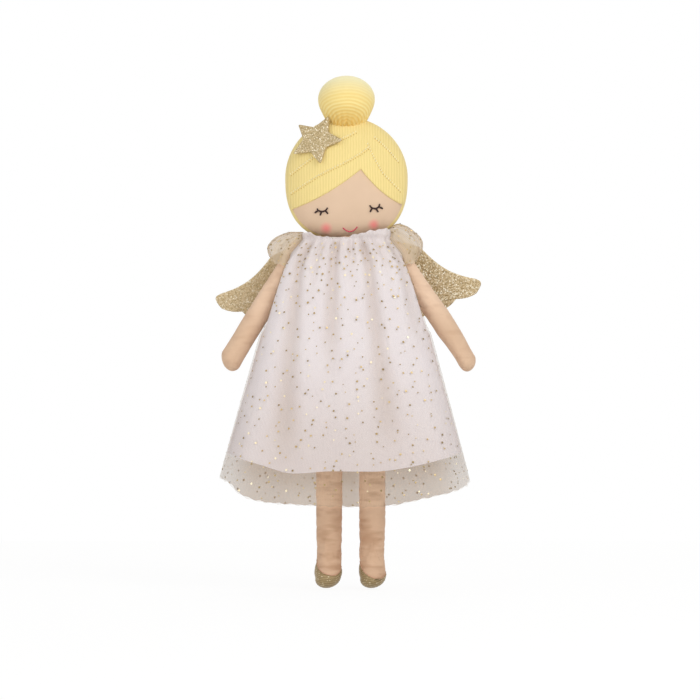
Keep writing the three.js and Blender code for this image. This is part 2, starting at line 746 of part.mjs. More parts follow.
function foldHeight(z) {
  const share = THREE.MathUtils.clamp((GATHER_Z - z) / (GATHER_Z - HEM_Z), 0, 1);
  return THREE.MathUtils.lerp(FOLD_NECK, FOLD_HEM, share);
}

const LAYERS = NET + LAYER_GAP + NET;

// How far in the cloth lies beside the arm, so that the arm rests against it.
function pleatWall(z) {
  const down = (SHOULDER_Z - z) / Math.cos(ARM_SPLAY);
  const radius = along(ARM_ROWS.map(([at, half]) => [at, half]), down);
  const arm = SHOULDER_X + (SHOULDER_Z - z) * Math.tan(ARM_SPLAY) - radius / Math.cos(ARM_SPLAY);
  const body = along(TORSO_WIDTHS, z) + PLEAT_EASE;
  return Math.max(arm - LAYERS - PLEAT_EASE, body);
}

// Spaces points evenly along a line of points, both ends included.
function evenly(line, count) {
  const lengths = [0];
  for (let i = 1; i < line.length; i += 1) lengths.push(lengths[i - 1] + line[i].distanceTo(line[i - 1]));
  let k = 0;
  return Array.from({ length: count }, (_, i) => {
    const want = (lengths[line.length - 1] * i) / (count - 1);
    while (k < line.length - 2 && lengths[k + 1] < want) k += 1;
    return line[k].clone().lerp(line[k + 1], (want - lengths[k]) / (lengths[k + 1] - lengths[k]));
  });
}

// A quarter of the outline, from the middle of the back to the pleat at the arm.
function dressQuarter(width, depth, edge) {
  const samples = 8 * DRESS_QUARTER;
  const first = Math.PI / 2;
  const last = Math.asin((edge / depth) ** (SQUARENESS / 2));
  const line = Array.from({ length: samples }, (_, i) => {
    const angle = THREE.MathUtils.lerp(first, last, i / (samples - 1));
    const x = i === 0 ? 0 : width * Math.cos(angle) ** (2 / SQUARENESS);
    return new THREE.Vector2(x, depth * Math.sin(angle) ** (2 / SQUARENESS));
  });
  return evenly(line, DRESS_QUARTER + 1);
}

// The outline at one height, anticlockwise from the middle of the back.
function dressOutline(z, pleated) {
  const width = straight(DRESS_WIDTHS, Math.min(z, GATHER_Z)) + flare(z);
  const depth = straight(DRESS_DEPTHS, Math.min(z, GATHER_Z)) + flare(z);
  const held = pleated ? 1 - smooth(SHOULDER_Z - ARMHOLE_DROP, SHOULDER_Z, z) : 0;
  const press = held * Math.max(width - pleatWall(z), 0);
  const sway = HEM_SWAY * THREE.MathUtils.clamp((GATHER_Z - z) / (GATHER_Z - HEM_Z), 0, 1);
  const flat = HAND - GAP;
  const quarter = dressQuarter(width, depth, flat + PLEAT_SLOPE);
  const wall = width * (1 - (flat / depth) ** SQUARENESS) ** (1 / SQUARENESS) - press;
  const back = [...quarter, new THREE.Vector2(wall, flat)];
  const front = back.map((p) => new THREE.Vector2(p.x, -p.y)).reverse();
  const half = [...back, new THREE.Vector2(width - press, 0), ...front];
  const other = half.slice(1, -1).reverse();
  const ring = [...half.map((p) => new THREE.Vector2(-p.x, p.y)), ...other];
  return ring.map((p) => p.add(new THREE.Vector2(sway, 0)));
}

const ringCache = new Map();

function dressRing(z, pleated) {
  const key = `${z.toFixed(2)} ${pleated}`;
  if (!ringCache.has(key)) ringCache.set(key, dressOutline(z, pleated));
  return ringCache.get(key);
}

function edgeNormal(from, to) {
  return new THREE.Vector2(to.y - from.y, from.x - to.x).normalize();
}

// A corner of the outline, moved out by a mitre so that the cloth on both sides is lifted alike.
function dressPoint(i, z, lift, pleated = true) {
  const ring = dressRing(z, pleated);
  const before = ring[(i + ring.length - 1) % ring.length];
  const after = ring[(i + 1) % ring.length];
  const across = edgeNormal(before, ring[i]).add(edgeNormal(ring[i], after));
  const mitre = across.multiplyScalar(2 / across.lengthSq());
  const turn = (2 * Math.PI * i) / ring.length;
  const calm = smooth(...CALM, Math.abs(Math.cos(turn)));
  const wave = MAIN_FOLD * Math.cos(FOLDS * turn) + (1 - MAIN_FOLD) * Math.cos((FOLDS / 2) * turn);
  const point = ring[i].clone().addScaledVector(mitre, lift + calm * foldHeight(z) * wave);
  return new THREE.Vector3(point.x, point.y, z);
}

function hem(i, side, dip) {
  return side - dip * Math.abs(Math.cos((2 * Math.PI * i) / DRESS_SIDES));
}

function netHem(i) {
  return hem(i, HEM_Z, HEM_DIP);
}

function liningHem(i) {
  return hem(i, HEM_Z + LINING_SHORT, LINING_DIP);
}

// Both layers share their rows, closer together near the neck, and each ends at its own hem.
function rowHeight(row, i) {
  const share = Math.max((row - 1) / (DRESS_ROWS - 2), 0) ** ROW_CROWDING;
  return row === 0 ? NECKLINE : THREE.MathUtils.lerp(GATHER_Z, netHem(i), share);
}

function dressRows(lift, hemAt, pleated = true) {
  return Array.from({ length: DRESS_ROWS }, (_, row) => {
    return Array.from({ length: DRESS_SIDES }, (__, i) => {
      const z = row === DRESS_ROWS - 1 ? hemAt(i) : rowHeight(row, i);
      return dressPoint(i, z, lift(z), pleated);
    });
  });
}

function netLift(z) {
  return NET + LAYER_GAP + NET_FLARE * smooth(-BUST_Z, -HEM_Z, -z);
}

function armholes() {
  const low = SHOULDER_Z - ARMHOLE_DROP;
  const high = SHOULDER_Z - ARM_BALL / 2;
  const crown = ARM_BALL + GAP;
  const shape = new THREE.Shape();
  shape.moveTo(-ARMHOLE_HALF, high);
  shape.lineTo(-ARMHOLE_HALF, low);
  shape.lineTo(ARMHOLE_HALF, low);
  shape.lineTo(ARMHOLE_HALF, high);
  shape.absarc(0, SHOULDER_Z, crown, ARMHOLE_BEND, Math.PI - ARMHOLE_BEND);
  return solid(bar(shape, 2 * HEM_HALF));
}

function armRoom(side, room) {
  return solid(atShoulder(limbBody(ARM_ROWS, ARM_TIP, -room), side));
}

function dressLayer(inner, outer, hemAt) {
  const rows = [...dressRows(outer, hemAt), ...dressRows(inner, hemAt).reverse()];
  const middle = dressRows(() => 0, hemAt);
  const guide = [...middle, ...middle.toReversed()];
  const shell = solid(loft(rows, { loop: true, guide }));
  const rooms = Object.values(SIDES).map((arm) => armRoom(arm, GAP));
  return rooms.reduce((rest, room) => rest.subtract(room), shell.subtract(armholes()));
}

function addDress() {
  const lining = dressLayer(() => 0, () => NET, liningHem);
  const net = dressLayer(netLift, (z) => netLift(z) + NET, netHem);
  add('dress_lining', geometryOf(lining), LINING);
  add('dress_tulle', geometryOf(net), TULLE);
  const inside = -GAP - ELASTIC;
  const level = GATHER_Z + ELASTIC;
  const ring = Array.from({ length: DRESS_SIDES / 2 }, (_, i) => dressPoint(2 * i, level, inside));
  const sections = ring.map((centre, i) => {
    const before = ring[(i + ring.length - 1) % ring.length];
    const after = ring[(i + 1) % ring.length];
    const out = new THREE.Vector3(after.y - before.y, before.x - after.x, 0).normalize();
    return oval(0, ELASTIC, ELASTIC, THREAD_SIDES).map((p) => {
      return centre.clone().addScaledVector(out, p.x).add(new THREE.Vector3(0, 0, p.y));
    });
  });
  add('neck_elastic', loft(sections, { loop: true }), RUBBER_BAND);
}

// Sleeves: a puffed cap from the armhole's edge to the upper arm
function capBody(inset) {
  const rings = Array.from({ length: CAP_ROWS + 1 }, (_, i) => {
    const share = i / CAP_ROWS;
    const edge = THREE.MathUtils.lerp(ARM_BALL, CAP_MOUTH, share);
    const puff = Math.sin(Math.PI * share) ** CAP_FULLNESS;
    const halfX = THREE.MathUtils.lerp(edge, CAP_SWELL, puff) - inset;
    const halfY = THREE.MathUtils.lerp(edge, CAP_DEPTH, puff) - inset;
    const down = THREE.MathUtils.lerp(CAP_START + inset, CAP_END - inset, share);
    return oval(-down, halfX, halfY, BALL_SIDES);
  });
  return loft(rings);
}

// All the room inside the dress, and above its neckline
function dressRoom(pleated) {
  const rows = dressRows((z) => netLift(z) + NET + GAP, netHem, pleated);
  const above = rows[0].map((p) => p.clone().setZ(NECKLINE + CAP_SWELL));
  return solid(loft([above, ...rows]));
}

function addSleeves() {
  const envelope = dressRoom(false).add(dressRoom(true));
  for (const [name, side] of Object.entries(SIDES)) {
    const outside = solid(atShoulder(capBody(0), side));
    const inside = solid(atShoulder(capBody(NET), side));
    const cap = outside.subtract(inside).subtract(envelope).subtract(armRoom(side, GAP));
    add(`sleeve_${name}`, geometryOf(cap), TULLE);
  }
}

// Wings: one felt piece lying along the back of the dress, free to bend beside its stitched middle
function backOfDress(z) {
  return dressPoint(0, z, netLift(z) + NET).y;
}

function wingShape(axis) {
  const drop = WING_TOP - WING_TIP;
  const upper = (span, rise) => [WING_SPAN * span, WING_TIP + drop * rise];
  const lower = (span, fall) => [WING_SPAN * span, WING_LOW + drop * fall];
  const shape = new THREE.Shape();
  shape.moveTo(axis, WING_MIDDLE_LOW);
  shape.lineTo(axis, WING_MIDDLE_TOP);
  shape.bezierCurveTo(...upper(0.2, 1.11), ...upper(0.42, 1.35), ...upper(0.57, 1));
  shape.bezierCurveTo(...upper(0.69, 0.52), ...upper(0.78, 0.31), ...upper(0.945, 0.17));
  shape.bezierCurveTo(...upper(1.005, 0.08), ...upper(1.02, -0.05), ...upper(0.965, -0.2));
  shape.quadraticCurveTo(...upper(0.9, -0.35), ...upper(0.81, -0.33));
  shape.quadraticCurveTo(...upper(0.73, -0.66), ...upper(0.62, -0.58));
  shape.quadraticCurveTo(...lower(0.5, -0.05), ...lower(0.36, 0.12));
  shape.quadraticCurveTo(...lower(0.2, 0), axis, WING_MIDDLE_LOW);
  return shape;
}

function addWings() {
  const bead = WING_FELT / 2;
  const axis = WING_MIDDLE_HALF + GAP + bead;
  const low = backOfDress(WING_LOW);
  const high = backOfDress(WING_MIDDLE_TOP);
  const lean = Math.atan2(low - high, WING_MIDDLE_TOP - WING_LOW);
  const set = new THREE.Group();
  set.position.set(0, high + (GAP + bead) / Math.cos(lean), WING_MIDDLE_TOP);
  set.rotation.set(lean, WING_SKEW, 0, 'XYZ');
  doll.add(set);
  const middle = new THREE.Shape();
  middle.moveTo(-WING_MIDDLE_HALF, WING_MIDDLE_LOW);
  middle.lineTo(WING_MIDDLE_HALF, WING_MIDDLE_LOW);
  middle.lineTo(WING_MIDDLE_HALF, WING_MIDDLE_TOP);
  middle.lineTo(-WING_MIDDLE_HALF, WING_MIDDLE_TOP);
  const down = -WING_MIDDLE_TOP;
  add('wing_middle', plate(middle, WING_FELT).translate(0, 0, down), GLITTER, set);
  for (const [name, side] of Object.entries(SIDES)) {
    const fold = post(bead, WING_MIDDLE_LOW, WING_MIDDLE_TOP).translate([axis, 0, 0]);
    const wing = geometryOf(solid(plate(wingShape(axis), WING_FELT)).add(fold)).translate(0, 0, down);
    add(`wing_${name}`, wing, GLITTER, set).scale.x = side;
  }
}

addTorso();
addNeck();
addHead();
addBun();
addStar();
addFace();
addArms();
addLegs();
addDress();
addSleeves();
addWings();

export default doll;
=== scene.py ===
"""Plush angel rag doll: soft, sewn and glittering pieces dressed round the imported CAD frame.

Sizes in the classes are in millimetres, in the CAD frame: +Z is up, the face looks along -Y and +X is the
doll's left. Meshes are written in metres.
"""

from __future__ import annotations

import logging
import math
import random
from collections.abc import Callable, Iterable
from dataclasses import dataclass, field
from enum import Enum

import bmesh
import bpy
from bpy.types import Material, Node, NodeSocket, NodeTree, Object
from mathutils import Matrix, Vector, noise

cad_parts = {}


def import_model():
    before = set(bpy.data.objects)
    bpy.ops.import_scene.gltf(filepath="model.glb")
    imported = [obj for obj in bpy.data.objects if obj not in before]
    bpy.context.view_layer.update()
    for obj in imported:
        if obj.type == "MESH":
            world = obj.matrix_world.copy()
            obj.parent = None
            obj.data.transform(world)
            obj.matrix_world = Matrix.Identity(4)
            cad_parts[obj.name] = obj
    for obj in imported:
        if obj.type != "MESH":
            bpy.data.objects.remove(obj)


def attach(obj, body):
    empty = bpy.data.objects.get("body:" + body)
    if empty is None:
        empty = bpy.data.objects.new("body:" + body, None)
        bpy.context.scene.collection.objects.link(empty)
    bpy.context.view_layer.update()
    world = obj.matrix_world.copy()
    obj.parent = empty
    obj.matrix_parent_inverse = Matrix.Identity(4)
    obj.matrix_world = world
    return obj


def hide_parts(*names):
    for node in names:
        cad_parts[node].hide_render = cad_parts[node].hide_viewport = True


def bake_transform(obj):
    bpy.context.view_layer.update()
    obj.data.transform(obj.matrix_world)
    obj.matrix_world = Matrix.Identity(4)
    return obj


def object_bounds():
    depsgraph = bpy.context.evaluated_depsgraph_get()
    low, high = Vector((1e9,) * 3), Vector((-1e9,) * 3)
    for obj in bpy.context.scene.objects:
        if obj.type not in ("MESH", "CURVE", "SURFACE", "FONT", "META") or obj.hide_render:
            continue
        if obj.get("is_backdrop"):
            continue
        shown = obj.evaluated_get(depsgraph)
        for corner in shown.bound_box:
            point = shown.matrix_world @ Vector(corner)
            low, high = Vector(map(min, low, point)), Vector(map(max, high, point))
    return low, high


LOG = logging.getLogger("plush_angel")
MM = 0.001
TURN = 2 * math.pi

Mesh = tuple[list[Vector], list[tuple[int, ...]]]
Rows = list[list[Vector]]
Pair = tuple[float, float]
Pairs = tuple[Pair, ...]
Triple = tuple[float, float, float]
Stops = tuple[tuple[float, str], ...]
Source = Node | NodeSocket


class Side(Enum):
    """The doll's own left and right, by the sign of X."""

    LEFT = 1
    RIGHT = -1

    @property
    def word(self) -> str:
        """The side's name, as the CAD nodes use it."""
        return self.name.lower()


class RibRun(Enum):
    """Which way the wales of a rib knit run."""

    UPRIGHT = "upright"
    ROUND_HEAD = "upright all round a flat head"
    ROUND_GATHER = "round the gathered point of a ball"


class Held(Enum):
    GATHERED = "gathered"
    STRETCHED = "stretched"
    LAID = "laid"
    HUNG = "hung"
    FOLDED = "folded"


def linear(code: str) -> tuple[float, float, float, float]:
    """Turn an sRGB hex colour into linear RGBA.

    Args:
        code: Six hex digits, with or without a leading hash.

    Returns:
        Linear red, green and blue, and an alpha of 1.
    """
    digits = code.lstrip("#")
    shares = [int(digits[i : i + 2], 16) / 255 for i in (0, 2, 4)]
    red, green, blue = (s / 12.92 if s <= 0.04045 else ((s + 0.055) / 1.055) ** 2.4 for s in shares)
    return red, green, blue, 1.0


def add_node(
    tree: NodeTree, kind: str, inputs: dict | None = None, stops: Stops = (), **settings: object
) -> Node:
    """Add one shader node with its settings, values and links.

    Args:
        tree: The material's or world's node tree.
        kind: Blender's node type, without the words that all of them start with.
        inputs: Values, or sockets or nodes to link, by socket name or index. A node is linked by its first
            live output.
        stops: Where each sharp step of a colour ramp starts, with its hex colour.
        **settings: Attributes of the node.

    Returns:
        The new node.
    """
    node = tree.nodes.new(f"ShaderNode{kind}")
    for name, value in settings.items():
        setattr(node, name, value)
    for index, (place, code) in enumerate(stops):
        element = node.color_ramp.elements[index] if index < 2 else node.color_ramp.elements.new(place)
        element.position = place
        element.color = linear(code)
    if stops:
        node.color_ramp.interpolation = "CONSTANT"
    for key, value in (inputs or {}).items():
        if isinstance(value, Node):
            value = next(out for out in value.outputs if out.enabled)
        if isinstance(value, NodeSocket):
            tree.links.new(value, node.inputs[key])
        else:
            node.inputs[key].default_value = value
    return node


def smooth(low: float, high: float, value: float) -> float:
    """Ease from 0 at low to 1 at high."""
    share = min(max((value - low) / (high - low), 0.0), 1.0)
    return share * share * (3 - 2 * share)


def mix(first: float, last: float, share: float) -> float:
    """Go from first to last by a share."""
    return first + (last - first) * share


def squared(value: float, power: float) -> float:
    """Raise a sine or cosine to a power and keep its sign, which squares the corners of an oval."""
    return math.copysign(abs(value) ** power, value)


def turns(count: int) -> list[float]:
    """Even angles once round."""
    return [TURN * k / count for k in range(count)]


def pulled(points: list[Vector], share: float) -> Vector:
    """Read the smooth curve that runs from the first point to the last and is pulled by those between.

    Args:
        points: Two or more points.
        share: How far along the curve.

    Returns:
        The point there.
    """
    while len(points) > 1:
        points = [a.lerp(b, share) for a, b in zip(points, points[1:])]
    return points[0]


def through(pairs: Iterable[Pair], at: float) -> float:
    """Read a smooth curve that passes through points and doesn't overshoot them.

    Args:
        pairs: Place and value, by rising place.
        at: The place to read.

    Returns:
        The value there, held past both ends.
    """
    pairs = list(pairs)
    if at <= pairs[0][0]:
        return pairs[0][1]
    if at >= pairs[-1][0]:
        return pairs[-1][1]
    rises = [(b[1] - a[1]) / (b[0] - a[0]) for a, b in zip(pairs, pairs[1:])]
    inner = [0.0 if a * b <= 0 else 2 * a * b / (a + b) for a, b in zip(rises, rises[1:])]
    slopes = [rises[0], *inner, rises[-1]]
    i = next(k for k in range(len(rises)) if at <= pairs[k + 1][0])
    (x0, y0), (x1, y1) = pairs[i], pairs[i + 1]
    step = x1 - x0
    t = (at - x0) / step
    rest = 1 - t
    ends = (1 + 2 * t) * rest * rest * y0 + t * t * (3 - 2 * t) * y1
    return ends + step * (t * rest * rest * slopes[i] - t * t * rest * slopes[i + 1])


def ripple(point: Vector, stretch: Triple, seed: float = 0.0) -> float:
    """Read even noise, from -1 to 1, by the size of one ripple along X, Y and Z and a seed."""
    scaled = Vector(p / s for p, s in zip(point, stretch))
    return noise.noise(scaled + Vector((seed, 2.7 * seed, -seed)))


def loft(rows: Rows, wrap: bool = True, first: Vector | None = None, last: Vector | None = None) -> Mesh:
    """Join rows of points by faces.

    Args:
        rows: Rows of equal length.
        wrap: Join each row's last point to its first.
        first: A pole that closes the first row.
        last: A pole that closes the last row.

    Returns:
        Points and faces.
    """
    count = len(rows[0])
    points = [p for row in rows for p in row]
    columns = range(count if wrap else count - 1)
    faces: list[tuple[int, ...]] = []
    for r in range(len(rows) - 1):
        low, high = r * count, (r + 1) * count
        faces += [(low + c, low + (c + 1) % count, high + (c + 1) % count, high + c) for c in columns]
    if first is not None:
        points.append(first)
        faces += [((c + 1) % count, c, len(points) - 1) for c in columns]
    if last is not None:
        points.append(last)
        base = (len(rows) - 1) * count
        faces += [(base + c, base + (c + 1) % count, len(points) - 1) for c in columns]
    return points, faces


def joined(parts: Iterable[Mesh]) -> Mesh:
    """Put several meshes into one.

    Args:
        parts: The meshes.

    Returns:
        All their points and faces.
    """
    points: list[Vector] = []
    faces: list[tuple[int, ...]] = []
    for more_points, more_faces in parts:
        start = len(points)
        points += more_points
        faces += [tuple(start + i for i in face) for face in more_faces]
    return points, faces


def tube(path: list[Vector], radius: Callable[[float], float], sides: int = 8, loop: bool = False) -> Mesh:
    """Lay a round thread or cord along a path.

    Args:
        path: Points of the path.
        radius: Half the thickness at a share of the way.
        sides: Corners of the section.
        loop: Whether the path closes on itself.

    Returns:
        Points and faces, with closed ends on an open path.
    """
    rows: Rows = []
    side = Vector((0, -1, 0))
    count = len(path)
    for i, centre in enumerate(path):
        before = path[(i - 1) % count] if loop or i else path[0]
        after = path[(i + 1) % count] if loop or i < count - 1 else path[-1]
        ahead = (after - before).normalized()
        out = (side - ahead * side.dot(ahead)).normalized()
        across = ahead.cross(out)
        half = radius(i / (count - 1))
        rows.append([centre + (out * math.cos(a) + across * math.sin(a)) * half for a in turns(sides)])
    if loop:
        return loft([*rows, rows[0]])
    return loft(rows, first=path[0], last=path[-1])


def foil_dot(centre: Vector, across: Vector, along: Vector, crown: Vector) -> Mesh:
    """Press one domed dot of foil, by half its size across and along the cloth and the top of its dome."""
    return loft([[centre + across * math.cos(a) + along * math.sin(a) for a in turns(7)]], first=crown)


def make_piece(name: str, mesh: Mesh, *finishes: Material) -> Object:
    """Make a smooth-shaded object from a mesh in millimetres.

    Args:
        name: The piece's name.
        mesh: Points and faces.
        *finishes: Its finishes; the first goes on every face.

    Returns:
        The new object.
    """
    data = bpy.data.meshes.new(name)
    points, faces = mesh
    data.from_pydata([p * MM for p in points], [], faces)
    data.polygons.foreach_set("use_smooth", [True] * len(data.polygons))
    for finish in finishes:
        data.materials.append(finish)
    data.update()
    piece = bpy.data.objects.new(name, data)
    bpy.context.scene.collection.objects.link(piece)
    return piece


def declare(piece: Object, body: str, slot: str, *nodes: str) -> Object:
    """Tell the frame what a piece belongs to.

    Args:
        piece: A mesh object.
        body: The CAD body that it rides on.
        slot: The record's slot that it would take its finish from; not used.
        *nodes: The CAD nodes that it stands for.

    Returns:
        The piece.
    """
    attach(piece, body)
    if nodes:
        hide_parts(*nodes)
    return piece


def set_uv(piece: Object, places: list[Pair]) -> None:
    """Give each point of a piece its place on the flat cloth.

    Args:
        piece: A mesh object.
        places: Across and along the cloth in metres, by point.
    """
    layer = piece.data.uv_layers.new(name="cloth")
    for loop in piece.data.loops:
        layer.data[loop.index].uv = places[loop.vertex_index]


def set_tone(piece: Object, name: str, values: list[float]) -> None:
    """Give each point of a piece a share, from 0 to 1, that its finish reads."""
    piece.data.attributes.new(name, "FLOAT", "POINT").data.foreach_set("value", values)


def new_material(name: str) -> tuple[Material, NodeTree]:
    """Start a node material.

    Args:
        name: The real material's name.

    Returns:
        The material and its empty tree.
    """
    material = bpy.data.materials.new(name)
    material.use_nodes = True
    material.node_tree.nodes.clear()
    return material, material.node_tree


def surfaced(material: Material, inputs: dict) -> Material:
    """Finish a material with its surface shader.

    Args:
        material: A material whose tree holds all else.
        inputs: The shader's values and links, by socket name.

    Returns:
        The material.
    """
    shader = add_node(material.node_tree, "BsdfPrincipled", inputs)
    add_node(material.node_tree, "OutputMaterial", {"Surface": shader})
    return material


def ridges(tree: NodeTree, along: Source, pitch: float) -> Node:
    """Turn a length in metres into even ridges.

    Args:
        tree: The node tree.
        along: The length.
        pitch: From one ridge to the next, in millimetres.

    Returns:
        A height from 0 in the groove to 1 on the ridge.
    """
    turned = add_node(tree, "Math", {0: along, 1: TURN / (pitch * MM)}, operation="MULTIPLY")
    wave = add_node(tree, "Math", {0: turned}, operation="SINE")
    return add_node(tree, "Math", {0: wave, 1: 0.5, 2: 0.5}, operation="MULTIPLY_ADD")


@dataclass(frozen=True)
class Blush:
    """A round spot of colour rubbed into the cheek, seen from the front."""

    x: float
    z: float
    radius: float = 7.4
    colour: str = "#FF9A93"


@dataclass(frozen=True)
class Jersey:
    """Cotton single jersey, knitted fine and stretched over filling: a matt, mottled skin with soft fuzz."""

    name: str = "cotton_jersey"
    colour: str = "#E6C5A7"
    shade: str = "#DFBD9E"
    blushes: tuple[Blush, ...] = ()
    mottle: float = 16.0
    fuzz: float = 1.1
    # Real wales are about 0.6 mm apart; drawn at twice that, the finest the picture can hold.
    wale: float = 1.2
    # Depth of the slack folds that lie across a limb, and their size across and along it.
    crumple: float = 0.0
    slack: Triple = (28.0, 28.0, 8.0)
    # Colour of the painted shade in the creases of the slack folds, and how much of it is laid on.
    crease: str = "#BE9474"
    crease_shade_share: float = 0.0
    # The paler colour painted where the dress shades the cloth: painted light that offsets the dress's
    # shadow.
    painted_light_under_dress: str = "#EFCEB1"

    def build(self) -> Material:
        """Knit the skin.

        Returns:
            The material.
        """
        material, tree = new_material(self.name)
        place = add_node(tree, "TexCoord").outputs["Object"]
        cloud = add_node(tree, "TexNoise", {"Vector": place, "Scale": 1 / (self.mottle * MM), "Detail": 4.0})
        tint = {0: cloud, 6: linear(self.colour), 7: linear(self.shade)}
        colour = add_node(tree, "Mix", tint, data_type="RGBA")
        for blush in self.blushes:
            colour = self._rubbed(tree, place, blush, colour)
        parts = add_node(tree, "SeparateXYZ", {"Vector": place})
        wales = ridges(tree, parts.outputs["X"], self.wale)
        fuzz = add_node(tree, "TexNoise", {"Vector": place, "Scale": 1 / (self.fuzz * MM), "Detail": 2.0})
        height = add_node(tree, "Math", {0: wales, 1: 0.35, 2: fuzz}, operation="MULTIPLY_ADD")
        bump = {"Height": height, "Strength": 0.25, "Distance": 0.35 * MM}
        if self.crumple:
            colour, bump["Normal"] = self._folded(tree, place, colour)
        surface = {"Base Color": colour, "Normal": add_node(tree, "Bump", bump), "Roughness": 0.88}
        surface |= {"Specular IOR Level": 0.25, "Sheen Weight": 0.1, "Sheen Roughness": 0.6}
        return surfaced(material, surface)

    def _folded(self, tree: NodeTree, place: NodeSocket, colour: Node) -> tuple[Node, Node]:
        """Lay slack folds across a limb, with painted shade in their creases and a paler colour painted as
        light where the dress shades the limb.

        Args:
            tree: The node tree.
            place: The point's place.
            colour: The colour before the folds.

        Returns:
            The colour with the painted crease shade and the painted light under the dress, and the bump of
            the folds.
        """
        run = tuple(1 / (size * MM) for size in self.slack)
        across = add_node(tree, "VectorMath", {0: place, 1: run}, operation="MULTIPLY")
        slack = add_node(tree, "TexNoise", {"Vector": across, "Scale": 1.0, "Detail": 2.0})
        folds = add_node(tree, "Bump", {"Height": slack, "Strength": 1.0, "Distance": self.crumple * MM})
        # Paler colour painted where the dress shades the limb: painted light that offsets its shadow.
        under = add_node(tree, "Attribute", attribute_name="painted_light_under_dress", attribute_type="GEOMETRY")
        under_dress_light_mix = {0: under.outputs["Fac"], 6: colour, 7: linear(self.painted_light_under_dress)}
        under_dress_lightened = add_node(tree, "Mix", under_dress_light_mix, data_type="RGBA")
        # Painted shade in the creases of the slack folds.
        deep = add_node(tree, "MapRange", {"Value": slack, 1: 0.53, 2: 0.33, 3: 0.0, 4: self.crease_shade_share})
        dark = {0: deep, 6: under_dress_lightened, 7: linear(self.crease)}
        return add_node(tree, "Mix", dark, data_type="RGBA"), folds

    def _rubbed(self, tree: NodeTree, place: NodeSocket, blush: Blush, colour: Node) -> Node:
        """Rub one cheek spot into a colour.

        Args:
            tree: The node tree.
            place: The point's place.
            blush: The spot.
            colour: The colour under it.

        Returns:
            The colour with the spot.
        """
        flat = add_node(tree, "VectorMath", {0: place, 1: (1.0, 0.0, 1.0)}, operation="MULTIPLY")
        centre = (blush.x * MM, 0.0, blush.z * MM)
        away = add_node(tree, "VectorMath", {0: flat, 1: centre}, operation="DISTANCE")
        reach = {"Value": away, 1: blush.radius * MM, 2: 0.0, 3: 0.0, 4: 1.0}
        share = add_node(tree, "MapRange", reach, interpolation_type="SMOOTHSTEP")
        return add_node(tree, "Mix", {0: share, 6: colour, 7: linear(blush.colour)}, data_type="RGBA")


